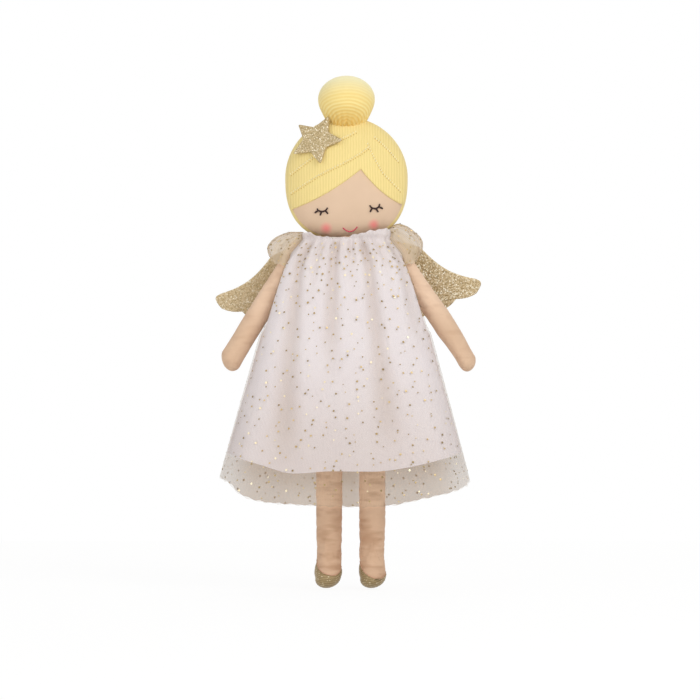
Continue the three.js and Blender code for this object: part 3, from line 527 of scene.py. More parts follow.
@dataclass(frozen=True)
class RibKnit:
    """Rib-knitted cotton: rounded wales side by side, pale on the ridge and deeper yellow in the groove,
    which is painted shade.
    """

    name: str = "rib_knit"
    ridge: str = "#F9E29B"
    # The groove's deeper colour is painted shade between the wales.
    groove: str = "#EFD88E"
    run: RibRun = RibRun.UPRIGHT
    pitch: float = 2.55
    stitch: float = 1.5
    sway: float = 14.0
    centre: Triple = (0.0, 0.0, 0.0)
    pole: Triple = (0.0, 0.0, -1.0)
    radius: float = 26.6
    # On a gathered ball: where the wales even out, where they are stretched flat, paler there on the top also
    # as painted light, and at the gather, deeper there as painted shade.
    even: str = "#F8DE91"
    stretched: str = "#FFF6C4"
    foot: str = "#DDB052"
    # How many times wider than deep the head is.
    flatness: float = 1.74

    def build(self) -> Material:
        """Knit the ribs.

        Returns:
            The material.
        """
        material, tree = new_material(self.name)
        place = add_node(tree, "TexCoord").outputs["Object"]
        sway = add_node(tree, "TexNoise", {"Vector": place, "Scale": 1 / (self.sway * MM), "Detail": 1.0})
        drift = {0: sway, 1: 0.5 * self.pitch * MM, 2: self._across(tree, place)}
        wale = ridges(tree, add_node(tree, "Math", drift, operation="MULTIPLY_ADD"), self.pitch)
        # Painted shade in the grooves between the wales.
        tint = {0: wale, 6: linear(self.groove), 7: linear(self.ridge)}
        colour = add_node(tree, "Mix", tint, data_type="RGBA")
        if self.run is RibRun.ROUND_GATHER:
            colour = self._gathered(tree, place, colour)
        loops = {"Vector": place, "Scale": 1 / (self.stitch * MM), "Detail": 1.0}
        stitches = add_node(tree, "TexNoise", loops)
        height = add_node(tree, "Math", {0: stitches, 1: 0.4, 2: wale}, operation="MULTIPLY_ADD")
        bump = add_node(tree, "Bump", {"Height": height, "Strength": 0.4, "Distance": 0.45 * MM})
        surface = {"Base Color": colour, "Normal": bump, "Roughness": 0.85, "Specular IOR Level": 0.25}
        return surfaced(material, surface | {"Sheen Weight": 0.15, "Sheen Roughness": 0.5})

    def _turned(self, tree: NodeTree, place: NodeSocket) -> Node:
        """Measure the turn from the gathered pole, seen from the ball's centre.

        Args:
            tree: The node tree.
            place: The point's place.

        Returns:
            The cosine of the turn.
        """
        centre = tuple(c * MM for c in self.centre)
        out = add_node(tree, "VectorMath", {0: place, 1: centre}, operation="SUBTRACT")
        unit = add_node(tree, "VectorMath", {0: out}, operation="NORMALIZE")
        pole = tuple(Vector(self.pole).normalized())
        return add_node(tree, "VectorMath", {0: unit, 1: pole}, operation="DOT_PRODUCT")

    def _across(self, tree: NodeTree, place: NodeSocket) -> Source:
        """Measure across the wales.

        Args:
            tree: The node tree.
            place: The point's place.

        Returns:
            The length in metres.
        """
        parts = add_node(tree, "SeparateXYZ", {"Vector": place})
        if self.run is RibRun.UPRIGHT:
            return parts.outputs["X"]
        if self.run is RibRun.ROUND_HEAD:
            deep = add_node(tree, "Math", {0: parts.outputs["Y"], 1: self.flatness}, operation="MULTIPLY")
            angle = add_node(tree, "Math", {0: parts.outputs["X"], 1: deep}, operation="ARCTAN2")
        else:
            angle = add_node(tree, "Math", {0: self._turned(tree, place)}, operation="ARCCOSINE")
        return add_node(tree, "Math", {0: angle, 1: self.radius * MM}, operation="MULTIPLY")

    def _gathered(self, tree: NodeTree, place: NodeSocket, colour: Node) -> Node:
        """Fade the wales where the cloth is stretched, paler there on the top also as painted light, and
        deepen the colour at the gather as painted shade.

        Args:
            tree: The node tree.
            place: The point's place.
            colour: The ribbed colour.

        Returns:
            The colour over the whole ball.
        """
        near = self._turned(tree, place)
        # The stretched colour is painted light on the top as well as stretched knit; the foot colour is
        # painted shade at the gather underneath.
        fades = (
            (self.even, 0.85, 0.45, 0.6),
            (self.stretched, 0.4, -0.35, 0.95),
            (self.foot, 0.66, 1.0, 0.6),
        )
        for tone, start, end, most in fades:
            share = add_node(tree, "MapRange", {"Value": near, 1: start, 2: end, 3: 0.0, 4: most})
            colour = add_node(tree, "Mix", {0: share, 6: colour, 7: linear(tone)}, data_type="RGBA")
        return colour


@dataclass(frozen=True)
class SatinLining:
    """Woven polyester lining: a smooth, nearly white cloth with a soft lilac cast and a low gloss."""

    name: str = "satin_lining"
    colour: str = "#F6F1F4"
    shade: str = "#EFE8EC"
    cloud: float = 30.0
    # The weave is about 0.2 mm; drawn at 0.9 mm so that it shows.
    weave: float = 0.9

    def build(self) -> Material:
        """Weave the lining.

        Returns:
            The material.
        """
        material, tree = new_material(self.name)
        place = add_node(tree, "TexCoord").outputs["Object"]
        cloud = add_node(tree, "TexNoise", {"Vector": place, "Scale": 1 / (self.cloud * MM), "Detail": 2.0})
        tint = {0: cloud, 6: linear(self.colour), 7: linear(self.shade)}
        colour = add_node(tree, "Mix", tint, data_type="RGBA")
        weave = add_node(tree, "TexNoise", {"Vector": place, "Scale": 1 / (self.weave * MM), "Detail": 1.0})
        bump = add_node(tree, "Bump", {"Height": weave, "Strength": 0.08, "Distance": 0.2 * MM})
        surface = {"Base Color": colour, "Normal": bump, "Roughness": 0.62}
        return surfaced(material, surface | {"Specular IOR Level": 0.3, "Sheen Weight": 0.1})


@dataclass(frozen=True)
class Tulle:
    """Knitted nylon net: hair-fine threads that tint what lies behind, closer along the upright wales."""

    name: str
    colour: str
    # Share of the view that the threads take, where the net lies single and, at most, where it lies double
    # and where it is darkened as painted shade.
    single: float
    double: float
    thread: float = 0.1
    # Net holes are about 0.8 mm; the wales are drawn 1.5 mm apart so that the picture can hold them.
    pitch: float = 1.5
    cloud: float = 9.0
    shade: float = 0.86

    def build(self) -> Material:
        """Knit the net.

        Returns:
            The material.
        """
        material, tree = new_material(self.name)
        cloth = add_node(tree, "UVMap", uv_map="cloth")
        parts = add_node(tree, "SeparateXYZ", {"Vector": cloth})
        wales = ridges(tree, parts.outputs["X"], self.pitch)
        layers = add_node(tree, "Attribute", attribute_name="net_cover", attribute_type="GEOMETRY")
        cover = add_node(tree, "MapRange", {"Value": layers.outputs["Fac"], 3: self.single, 4: self.double})
        threads = add_node(tree, "Math", {0: wales, 1: self.thread, 2: cover}, operation="MULTIPLY_ADD")
        place = add_node(tree, "TexCoord").outputs["Object"]
        cloud = add_node(tree, "TexNoise", {"Vector": place, "Scale": 1 / (self.cloud * MM), "Detail": 2.0})
        pale = linear(self.colour)
        deep = (*(self.shade * c for c in pale[:3]), 1.0)
        colour = add_node(tree, "Mix", {0: cloud, 6: pale, 7: deep}, data_type="RGBA")
        surface = {"Base Color": colour, "Alpha": threads, "Roughness": 0.7}
        return surfaced(material, surface | {"Specular IOR Level": 0.3, "Sheen Weight": 0.1})


@dataclass(frozen=True)
class GoldFoil:
    """Hot-pressed foil dots: thin metal film, each given its own colour from bronze to bright gold, a painted
    reflection that stands for each lying a little differently.
    """

    name: str = "gold_foil"
    # The dots' colours by share, from bronze to pale gold: painted reflection over the foil's own colour.
    stops: Stops = (
        (0.0, "#8F7A52"),
        (0.3, "#AC9468"),
        (0.6, "#C6AE80"),
        (0.84, "#E8D9B4"),
        (0.95, "#F8EBC8"),
    )

    def build(self) -> Material:
        """Roll the foil.

        Returns:
            The material.
        """
        material, tree = new_material(self.name)
        # Each dot's share of painted reflection.
        tone = add_node(tree, "Attribute", attribute_name="tone", attribute_type="GEOMETRY")
        ramp = add_node(tree, "ValToRGB", {"Fac": tone.outputs["Fac"]}, stops=self.stops)
        return surfaced(material, {"Base Color": ramp, "Metallic": 0.5, "Roughness": 0.38})


@dataclass(frozen=True)
class GlitterFelt:
    """Felt coated with film glitter: flakes lie every way, so most look tan and a few flash nearly white; the
    flash is painted into the flake colours as painted glints, besides each flake's tilted normal.
    """

    name: str = "glitter_felt"
    # Flakes are about 0.4 mm; drawn at about 1 mm, a pixel of the picture.
    flake: float = 1.0
    # The flakes' colours, from tan to near white: the top steps are painted glints.
    stops: Stops = (
        (0.0, "#AE976C"),
        (0.2, "#C2AB81"),
        (0.45, "#D0BA92"),
        (0.7, "#DCC9A5"),
        (0.86, "#EDE1C6"),
        (0.95, "#FFF6E0"),
    )
    lean: float = 0.45

    def build(self) -> Material:
        """Strew the flakes.

        Returns:
            The material.
        """
        material, tree = new_material(self.name)
        place = add_node(tree, "TexCoord").outputs["Object"]
        grid = {"Vector": place, "Scale": 1 / (self.flake * MM)}
        cells = add_node(tree, "TexVoronoi", grid).outputs["Color"]
        flakes = add_node(tree, "SeparateColor", {"Color": cells})
        # Flake colours, with painted glints in the brightest cells.
        ramp = add_node(tree, "ValToRGB", {"Fac": flakes.outputs["Red"]}, stops=self.stops)
        tilt = add_node(tree, "VectorMath", {0: cells, 1: (0.5, 0.5, 0.5)}, operation="SUBTRACT")
        lean = add_node(tree, "VectorMath", {0: tilt, "Scale": self.lean}, operation="SCALE")
        facing = add_node(tree, "NewGeometry").outputs["Normal"]
        turned = add_node(tree, "VectorMath", {0: facing, 1: lean}, operation="ADD")
        normal = add_node(tree, "VectorMath", {0: turned}, operation="NORMALIZE")
        return surfaced(material, {"Base Color": ramp, "Normal": normal, "Metallic": 0.2, "Roughness": 0.42})


@dataclass(frozen=True)
class MetallicKnit:
    """Metallised yarn knitted in ribs round the toe: brown-gold grooves, deeper as painted shade, pale
    ridges, and scattered sparks that are painted glints.
    """

    name: str
    centre: Triple
    # The groove's darker colour is painted shade.
    groove: str = "#8F7952"
    ridge: str = "#AB946B"
    # Colour of the painted glints on the ridges.
    bright: str = "#F0E4C2"
    pitch: float = 1.4
    # Size of the cells of the painted glints.
    glint_size: float = 1.1

    def build(self) -> Material:
        """Knit the yarn.

        Returns:
            The material.
        """
        material, tree = new_material(self.name)
        place = add_node(tree, "TexCoord").outputs["Object"]
        centre = tuple(c * MM for c in self.centre)
        away = add_node(tree, "VectorMath", {0: place, 1: centre}, operation="DISTANCE")
        wale = ridges(tree, away, self.pitch)
        # Painted shade in the grooves between the ribs.
        tint = {0: wale, 6: linear(self.groove), 7: linear(self.ridge)}
        yarn = add_node(tree, "Mix", tint, data_type="RGBA")
        # Painted glints, scattered over the ridges.
        cells = add_node(tree, "TexVoronoi", {"Vector": place, "Scale": 1 / (self.glint_size * MM)})
        chance = add_node(tree, "SeparateColor", {"Color": cells.outputs["Color"]})
        lit = add_node(tree, "MapRange", {"Value": chance.outputs["Red"], 1: 0.86, 2: 0.95})
        sparks = add_node(tree, "Math", {0: lit, 1: wale}, operation="MULTIPLY")
        colour = add_node(tree, "Mix", {0: sparks, 6: yarn, 7: linear(self.bright)}, data_type="RGBA")
        bump = add_node(tree, "Bump", {"Height": wale, "Strength": 0.5, "Distance": 0.4 * MM})
        return surfaced(material, {"Base Color": colour, "Normal": bump, "Metallic": 0.3, "Roughness": 0.45})


@dataclass(frozen=True)
class Thread:
    """Twisted embroidery cotton: matt strands winding round each other."""

    name: str
    colour: str
    shade: str
    twist: float = 1.1

    def build(self) -> Material:
        """Twist the thread.

        Returns:
            The material.
        """
        material, tree = new_material(self.name)
        place = add_node(tree, "TexCoord").outputs["Object"]
        parts = add_node(tree, "SeparateXYZ", {"Vector": place})
        slant = add_node(tree, "Math", {0: parts.outputs["X"], 1: parts.outputs["Z"]}, operation="ADD")
        strand = ridges(tree, slant, self.twist)
        tint = {0: strand, 6: linear(self.shade), 7: linear(self.colour)}
        colour = add_node(tree, "Mix", tint, data_type="RGBA")
        bump = add_node(tree, "Bump", {"Height": strand, "Strength": 0.5, "Distance": 0.2 * MM})
        return surfaced(material, {"Base Color": colour, "Normal": bump, "Roughness": 0.75})


@dataclass
class Studio:
    """White floor, soft lamps and the camera at the photograph's view."""

    frame_width: float = 656.25
    aim: Pair = (3.3, -22.9)
    floor_z: float = -247.0
    sensor: float = 36.0
    # From here on in metres, apart from the strengths of light.
    distance: float = 3.6
    floor_half: float = 1.5
    floor_front: float = 1.6
    floor_back: float = 0.9
    floor_white: float = 0.9
    glow: float = 1.02
    ambient: float = 0.52
    lamps: tuple[tuple[str, Triple, float, float], ...] = (
        ("key", (1.25, -1.6, 1.25), 1.2, 19.0),
        ("fill", (-1.5, -1.6, 0.45), 1.6, 10.5),
        ("low", (-0.2, -1.9, -0.6), 1.2, 9.0),
        ("back", (0.2, 1.6, 1.2), 1.2, 8.0),
    )

    def build(self) -> None:
        """Make the camera, the lamps, the world and the floor."""
        self._camera()
        for name, place, size, power in self.lamps:
            self._lamp(name, Vector(place), size, power)
        self._world()
        self._floor()

    def _camera(self) -> None:
        """Put a long lens straight in front of the doll."""
        data = bpy.data.cameras.new("camera")
        data.sensor_width = self.sensor
        data.lens = self.sensor * self.distance / (self.frame_width * MM)
        camera = bpy.data.objects.new("camera", data)
        camera.location = (self.aim[0] * MM, -self.distance, self.aim[1] * MM)
        camera.rotation_euler = (math.pi / 2, 0, 0)
        bpy.context.scene.collection.objects.link(camera)
        bpy.context.scene.camera = camera

    def _lamp(self, name: str, place: Vector, size: float, power: float) -> None:
        """Hang one square soft lamp that faces the doll.

        Args:
            name: The lamp's name.
            place: Where it hangs, in metres.
            size: Its side, in metres.
            power: Its power in watts.
        """
        data = bpy.data.lights.new(name, "AREA")
        data.size = size
        data.energy = power
        lamp = bpy.data.objects.new(name, data)
        lamp.location = place
        lamp.rotation_euler = (-place).to_track_quat("-Z", "Y").to_euler()
        bpy.context.scene.collection.objects.link(lamp)

    def _seen(self, tree: NodeTree) -> Node:
        """Tell where the camera sees a surface, straight or through gloss and net.

        Args:
            tree: The node tree.

        Returns:
            1 where it is seen, otherwise 0.
        """
        path = add_node(tree, "LightPath").outputs
        glossy = {0: path["Is Camera Ray"], 1: path["Is Glossy Ray"]}
        both = add_node(tree, "Math", glossy, operation="MAXIMUM")
        return add_node(tree, "Math", {0: both, 1: path["Is Transmission Ray"]}, operation="MAXIMUM")

    def _world(self) -> None:
        """White where it is seen, and an even soft light on the doll."""
        world = bpy.data.worlds.new("studio")
        world.use_nodes = True
        bpy.context.scene.world = world
        tree = world.node_tree
        tree.nodes.clear()
        level = add_node(tree, "MapRange", {"Value": self._seen(tree), 3: self.ambient, 4: 1.0})
        back = add_node(tree, "Background", {"Color": linear("#FFFFFF"), "Strength": level})
        add_node(tree, "OutputWorld", {"Surface": back})
        bpy.context.scene.view_settings.view_transform = "Standard"

    def _floor(self) -> None:
        """Lay a pale floor that keeps a light shadow."""
        material, tree = new_material("painted_white_floor")
        matt = add_node(tree, "BsdfDiffuse", {"Color": linear("#F6F5F3")})
        glow = add_node(tree, "Emission", {"Color": linear("#FFFFFF"), "Strength": self.glow})
        share = add_node(tree, "Math", {0: self._seen(tree), 1: self.floor_white}, operation="MULTIPLY")
        shader = add_node(tree, "MixShader", {0: share, 1: matt, 2: glow})
        add_node(tree, "OutputMaterial", {"Surface": shader})
        half, front, back = self.floor_half, -self.floor_front, self.floor_back
        corners = ((-half, front), (half, front), (half, back), (-half, back))
        points = [Vector((x / MM, y / MM, self.floor_z)) for x, y in corners]
        make_piece("floor", (points, [(0, 1, 2, 3)]), material)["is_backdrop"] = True


# The star's film is duller than the wings', and its near-white top step is a painted glint as well.
STAR_FLAKES_AND_GLINTS = (
    (0.0, "#A48E62"),
    (0.2, "#B8A276"),
    (0.5, "#C7B187"),
    (0.75, "#D4C099"),
    (0.88, "#E2D4B2"),
    (0.95, "#FFF6E0"),
)
SKIN = Jersey(colour="#E2C1A3", shade="#DAB89A", crumple=1.2, crease_shade_share=0.25)
LEG_SKIN = Jersey("cotton_jersey_legs", "#E2BE9F", "#D8B394", crumple=2.4, crease_shade_share=0.75, painted_light_under_dress="#F4CEAE")
BACK_KNIT = RibKnit("rib_knit_back", run=RibRun.ROUND_HEAD, radius=52.0)
DRESS_NET = Tulle("dress_tulle_net", "#C4AA8D", 0.08, 0.78, 0.06)
SLEEVE_NET = Tulle("sleeve_tulle_net", "#E0CBAE", 0.4, 0.86, 0.1)
STAR_GLITTER = GlitterFelt("glitter_felt_star", 0.85, STAR_FLAKES_AND_GLINTS)
DARK = Thread("dark_brown_cotton_thread", "#40221F", "#241110")
PINK = Thread("pink_cotton_thread", "#EE667C", "#C23F58", 2.2)
PIP = Thread("pale_yellow_yarn", "#FFF6CC", "#FCE8A8", 0.9)
# Dark yarn laid where the shade in each stitch's eyelet falls: painted shade.
EYELET_SHADE = Thread("painted_eyelet_shade", "#DDBD72", "#C9A454", 0.9)
OVERLOCK = Thread("overlock_cotton_thread", "#DDB398", "#BE9173", 0.9)
ELASTIC = Thread("white_hat_elastic", "#F2F0EA", "#CFCBC0", 0.8)


@dataclass
class Wardrobe:
    """The finishes, each made once."""

    skin: Material = field(default_factory=SKIN.build)
    leg_skin: Material = field(default_factory=LEG_SKIN.build)
    knit: Material = field(default_factory=RibKnit().build)
    back_knit: Material = field(default_factory=BACK_KNIT.build)
    lining: Material = field(default_factory=SatinLining().build)
    net: Material = field(default_factory=DRESS_NET.build)
    sleeve_net: Material = field(default_factory=SLEEVE_NET.build)
    foil: Material = field(default_factory=GoldFoil().build)
    glitter: Material = field(default_factory=GlitterFelt().build)
    star_glitter: Material = field(default_factory=STAR_GLITTER.build)
    dark: Material = field(default_factory=DARK.build)
    pink: Material = field(default_factory=PINK.build)
    pip: Material = field(default_factory=PIP.build)
    eyelet_shade: Material = field(default_factory=EYELET_SHADE.build)
    overlock: Material = field(default_factory=OVERLOCK.build)
    elastic: Material = field(default_factory=ELASTIC.build)


@dataclass(frozen=True)
class Stuffing:
    """Blows a sewn tube full in Blender's cloth solver, so that its cloth strains and puckers."""

    frames: int = 20
    quality: int = 6
    pressure: float = 4.0
    growth: float = 0.025
    cap: float = 0.9
    # The solver works on a larger copy, because it is less steady on small pieces.
    scale: float = 10.0
    bending: float = 0.6

    def swell(self, piece: Object, pinned: Callable[[Vector], bool]) -> None:
        """Simulate a piece and keep the result in its mesh.

        Args:
            piece: A mesh object with no parent.
            pinned: Tells which points, in metres, are sewn fast.
        """
        data = piece.data.copy()
        data.transform(Matrix.Scale(self.scale, 4))
        blown = bpy.data.objects.new("stuffing", data)
        scene = bpy.context.scene
        scene.collection.objects.link(blown)
        group = blown.vertex_groups.new(name="sewn")
        group.add([v.index for v in piece.data.vertices if pinned(v.co)], 1.0, "REPLACE")
        cloth = blown.modifiers.new("cloth", "CLOTH")
        cloth.settings.quality = self.quality
        cloth.settings.use_pressure = True
        cloth.settings.uniform_pressure_force = self.pressure
        cloth.settings.shrink_min = -self.growth
        cloth.settings.bending_stiffness = self.bending
        cloth.settings.vertex_group_mass = group.name
        cloth.settings.effector_weights.gravity = 0.0
        cloth.point_cache.frame_start = 1
        cloth.point_cache.frame_end = self.frames
        for step in range(1, self.frames + 1):
            scene.frame_set(step)
        result = blown.evaluated_get(bpy.context.evaluated_depsgraph_get()).to_mesh()
        for vertex, moved in zip(piece.data.vertices, result.vertices):
            change = moved.co / self.scale - vertex.co
            vertex.co += change * min(1.0, self.cap * MM / max(change.length, 1e-9))
        scene.frame_set(1)
        bpy.data.objects.remove(blown)
        piece.data.update()


@dataclass
class HeadForm:
    """The flat pillow of the head: two panels that meet at a seam in front of the widest ring."""

    centre_z: float = 138.3
    half: float = 57.4
    rise: float = 57.0
    drop: float = 59.0
    depth: float = 33.0
    seam: float = 9.3
    crown_power: float = 2.0
    cheek_power: float = 2.5
    pillow_power: float = 2.0

    def edge(self, turn: float, lift: float = 0.0) -> Vector:
        """Find a point of the widest outline.

        Args:
            turn: The angle from +X, in the XZ plane.
            lift: Millimetres outside the cloth.

        Returns:
            X and Z from the head's centre, with Y at 0.
        """
        cosine, sine = math.cos(turn), math.sin(turn)
        power = 2 / (self.crown_power if sine >= 0 else self.cheek_power)
        height = (self.rise if sine >= 0 else self.drop) + lift
        return Vector((squared(cosine, power) * (self.half + lift), 0, squared(sine, power) * height))

    def scale_at(self, y: float) -> float:
        """How much the outline shrinks at a depth."""
        return math.sqrt(max(1 - abs(y / self.depth) ** self.pillow_power, 0))

    def depth_at(self, scale: float, lift: float = 0.0) -> float:
        """How far from the widest ring the outline has shrunk to a scale."""
        return (self.depth + lift) * max(1 - scale * scale, 0) ** (1 / self.pillow_power)

    def front(self, x: float, z: float, lift: float = 0.0) -> Vector:
        """Find a point on the front of the head.

        Args:
            x: Across.
            z: Up from the head's centre.
            lift: Millimetres outside the cloth.

        Returns:
            The point.
        """
        power = self.crown_power if z >= 0 else self.cheek_power
        height = (self.rise if z >= 0 else self.drop) + lift
        reach = (abs(x) / (self.half + lift)) ** power + (abs(z) / height) ** power
        return Vector((x, -self.depth_at(reach ** (1 / power), lift), self.centre_z + z))

    def ring(self, y: float, sides: int) -> list[Vector]:
        """The outline at a depth."""
        edges = [self.edge(turn) * self.scale_at(y) for turn in turns(sides)]
        return [Vector((p.x, y, self.centre_z + p.z)) for p in edges]


@dataclass
class Head:
    """Face, back of the head, front hair with its parting, and the worked marks in the knit."""

    form: HeadForm
    wardrobe: Wardrobe
    sides: int = 144
    rows: int = 40
    hair_columns: int = 160
    hair_rows: int = 44
    cloth: float = 1.5
    edge_roll: float = 1.7
    pucker: float = 0.35
    parting: Pair = (13.4, 6.6)
    right_end: Pair = (-49.9, -29.5)
    left_end: Pair = (49.5, -24.4)
    bow: float = 4.0
    blushes: tuple[Blush, ...] = (Blush(-18.9, 90.5), Blush(25.5, 93.8, 7.0))
    marks: tuple[Pairs, ...] = (
        ((-51.5, -14.5), (-27.8, 0.4), (-12.7, 8.0), (-3.0, 12.5), (12.1, 21.1), (21.8, 28.6)),
        ((-52.0, 3.2), (-36.4, 14.5), (-11.7, 32.9), (1.3, 38.2), (11.0, 43.5)),
        ((19.6, 30.6), (26.1, 16.7), (33.6, 3.8), (44.3, -7.0), (51.5, -13.8)),
        ((26.1, 37.1), (33.6, 30.6), (40.0, 24.2), (49.5, 13.4)),
    )
    mark_pitch: float = 2.55
    # Half length, half thickness and lift of a stitch's bright loop and of the dark mark below it, painted
    # shade in the eyelet, and from one to the other.
    mark_loop: Triple = (0.9, 0.8, 0.3)
    mark_eyelet_shade: Triple = (0.5, 0.55, 0.0)
    eyelet_shade_off: Pair = (0.7, -1.7)

    def build(self) -> list[Object]:
        """The head's pieces."""
        return [self._face(), self._back(), self._hair(), self._marks()]

    def _face(self) -> Object:
        """Sew the face panel, puckered a little along its seam.

        Returns:
            The face.
        """
        outer = self.form.scale_at(self.form.seam)
        rows: Rows = []
        for r in range(self.rows):
            scale = outer * (1 - r / self.rows)
            pucker = self.pucker * smooth(outer - 0.09, outer, scale)
            row = []
            for turn in turns(self.sides):
                edge = self.form.edge(turn) * scale
                lift = pucker * math.cos(46 * turn + 2 * math.sin(5 * turn))
                row.append(self.form.front(edge.x, edge.z) + Vector((0, -lift, 0)))
            rows.append(row)
        skin = Jersey("cotton_jersey_face", "#E8CAAE", "#E0C2A5", self.blushes).build()
        face = make_piece("face", loft(rows, last=self.form.front(0, 0)), skin)
        declare(face, "head", "jersey", "face_panel", "head_filling")
        return face

    def _back(self) -> Object:
        """Sew the knitted back of the head, drawn round to the front seam.

        Returns:
            The back.
        """
        rows = [self.form.ring(-self.form.seam * (1 - k / 6), self.sides) for k in range(6)]
        scales = [math.cos(0.5 * math.pi * r / self.rows) for r in range(self.rows)]
        rows += [self.form.ring(self.form.depth_at(scale), self.sides) for scale in scales]
        tip = Vector((0, self.form.depth, self.form.centre_z))
        back = make_piece("hair_back", loft(rows, last=tip), self.wardrobe.back_knit)
        declare(back, "head", "rib_knit", "head_back")
        return back

    def _hairline(self, share: float) -> Vector:
        """Find a point of the front hair's lower edge.

        Args:
            share: From the right temple over the parting, at a half, to the left temple.

        Returns:
            X and Z from the head's centre.
        """
        peak = Vector(self.parting)
        if share < 0.5:
            start, end, part = Vector(self.right_end), peak, 2 * share
        else:
            start, end, part = peak, Vector(self.left_end), 2 * share - 1
        return pulled([start, (start + end) / 2 - Vector((0, 2 * self.bow)), end], part)

    def _temple(self, end: Pair) -> float:
        """Find the angle of the outline where the front hair ends.

        Args:
            end: X and Z of the hairline's end.

        Returns:
            The angle.
        """
        height = max(-end[1] / (self.form.drop * self.form.scale_at(self.form.seam)), 0)
        down = math.asin(min(height ** (self.form.cheek_power / 2), 1))
        return -down if end[0] > 0 else math.pi + down

    def _hair(self) -> Object:
        """Lay the front hair over the face, with a turned edge along the parting.

        Returns:
            The hair.
        """
        # The first rows lie close together, round the turned edge.
        roll = (0.0, 0.006, 0.016, 0.032)
        steps = [*roll, *(0.055 + 0.945 * (k / self.hair_rows) for k in range(self.hair_rows + 1))]
        outer = self.form.scale_at(self.form.seam)
        first, last = self._temple(self.right_end), self._temple(self.left_end)
        rows: Rows = [[] for _ in steps]
        for c in range(self.hair_columns + 1):
            share = c / self.hair_columns
            low = self._hairline(share)
            edge = self.form.edge(mix(first, last, share), self.cloth) * outer
            high = Vector((edge.x, edge.z))
            for row, step in zip(rows, steps):
                place = low.lerp(high, step)
                near = min((place - low).length / self.edge_roll, 1.0)
                rise = 0.05 + self.cloth * math.sqrt(1 - (1 - near) ** 2)
                tuck = smooth(0.0, 3.0, (high - place).length)
                row.append(self.form.front(place.x, place.y, mix(0.6, rise, tuck) if step > 0.5 else rise))
        hair = make_piece("knit_hair_front", loft(rows, wrap=False), self.wardrobe.knit)
        declare(hair, "head", "rib_knit", "hair_front")
        return hair

    def _marks(self) -> Object:
        """Dot the knit with the narrowing stitches that slant across its wales.

        Returns:
            The stitches, each a bright loop with a dark mark below it, painted shade in the eyelet.
        """
        loops: list[Mesh] = []
        eyelet_shades: list[Mesh] = []
        for line in self.marks:
            for start, end in zip(line, line[1:]):
                count = max(round((Vector(end) - Vector(start)).length / self.mark_pitch), 1)
                for k in range(count):
                    place = Vector(start).lerp(Vector(end), k / count)
                    loops.append(self._stitch(place, *self.mark_loop))
                    # The dark mark below each loop is painted shade in the eyelet.
                    eyelet_shades.append(self._stitch(place + Vector(self.eyelet_shade_off), *self.mark_eyelet_shade))
        mesh = joined([*loops, *eyelet_shades])
        stitches = make_piece("narrowing_stitches", mesh, self.wardrobe.pip, self.wardrobe.eyelet_shade)
        bright = sum(len(faces) for _, faces in loops)
        dark = [0] * bright + [1] * (len(stitches.data.polygons) - bright)
        stitches.data.polygons.foreach_set("material_index", dark)
        return declare(stitches, "head", "rib_knit")

    def _stitch(self, place: Vector, half: float, thick: float, lift: float) -> Mesh:
        """Lay one stitch that leans over its wale.

        Args:
            place: X and Z from the head's centre.
            half: Half its length.
            thick: Half its thickness.
            lift: How far its middle stands off the cloth.

        Returns:
            Its mesh.
        """
        lean = Vector((0.5, 0.85)) * half
        path = [self.form.front(*(place + lean * t), self.cloth + lift) for t in (-1.0, -0.4, 0.4, 1.0)]
        return tube(path, lambda t: thick * (0.5 + 0.5 * math.sin(math.pi * t)), 6)


@dataclass
class Bun:
    """A stuffed ball of rib knit, gathered underneath and sewn to the crown."""

    wardrobe: Wardrobe
    axis_y: float = -6.0
    foot_z: float = 189.8
    height: float = 44.0
    radius: float = 26.6
    neck: float = 17.0
    # Radius and height of the cloth drawn in below the neck.
    tuck: Pairs = ((4.0, -3.0), (9.0, -4.6), (13.5, -4.2), (16.2, -2.0))
    base: float = 2.0
    pleats: int = 23
    pleat_depth: float = 1.3
    sides: int = 138
    lean: float = 31.0

    def _profile(self) -> list[Pair]:
        """Shape the ball from the gather to the top.

        Returns:
            Radius and height above the foot.
        """
        middle = self.height / 2
        shares = [(math.sin(k * math.pi / 24), k / 12) for k in range(12)]
        flank = [(mix(self.neck, self.radius, wide), middle * up) for wide, up in shares]
        dome = [k * math.pi / 40 for k in range(20)]
        return [*self.tuck, *flank, *((self.radius * math.cos(a), middle * (1 + math.sin(a))) for a in dome)]

    def build(self) -> list[Object]:
        """Make the bun.

        Returns:
            The one piece.
        """
        rows: Rows = []
        for radius, up in self._profile():
            drawn = self.pleat_depth * (1 - smooth(-4.0, 13.0, up)) * smooth(3.0, 12.0, radius)
            row = []
            for turn in turns(self.sides):
                out = radius + drawn * math.cos(self.pleats * turn + 1.3 * math.sin(3 * turn))
                y = self.axis_y + out * math.sin(turn)
                row.append(Vector((out * math.cos(turn), y, self.foot_z + up)))
            rows.append(row)
        lean = math.radians(self.lean)
        knit = RibKnit(
            name="rib_knit_bun",
            ridge="#FFECA6",
            groove="#F0D07C",
            run=RibRun.ROUND_GATHER,
            pitch=3.3,
            centre=(0.0, self.axis_y, self.foot_z + self.height / 2),
            pole=(0.0, -math.sin(lean), -math.cos(lean)),
            radius=self.radius,
        ).build()
        base = Vector((0, self.axis_y, self.foot_z - self.base))
        tip = Vector((0, self.axis_y, self.foot_z + self.height))
        bun = make_piece("bun", loft(rows, first=base, last=tip), knit)
        declare(bun, "head", "rib_knit", "hair_bun", "bun_filling")
        return [bun]


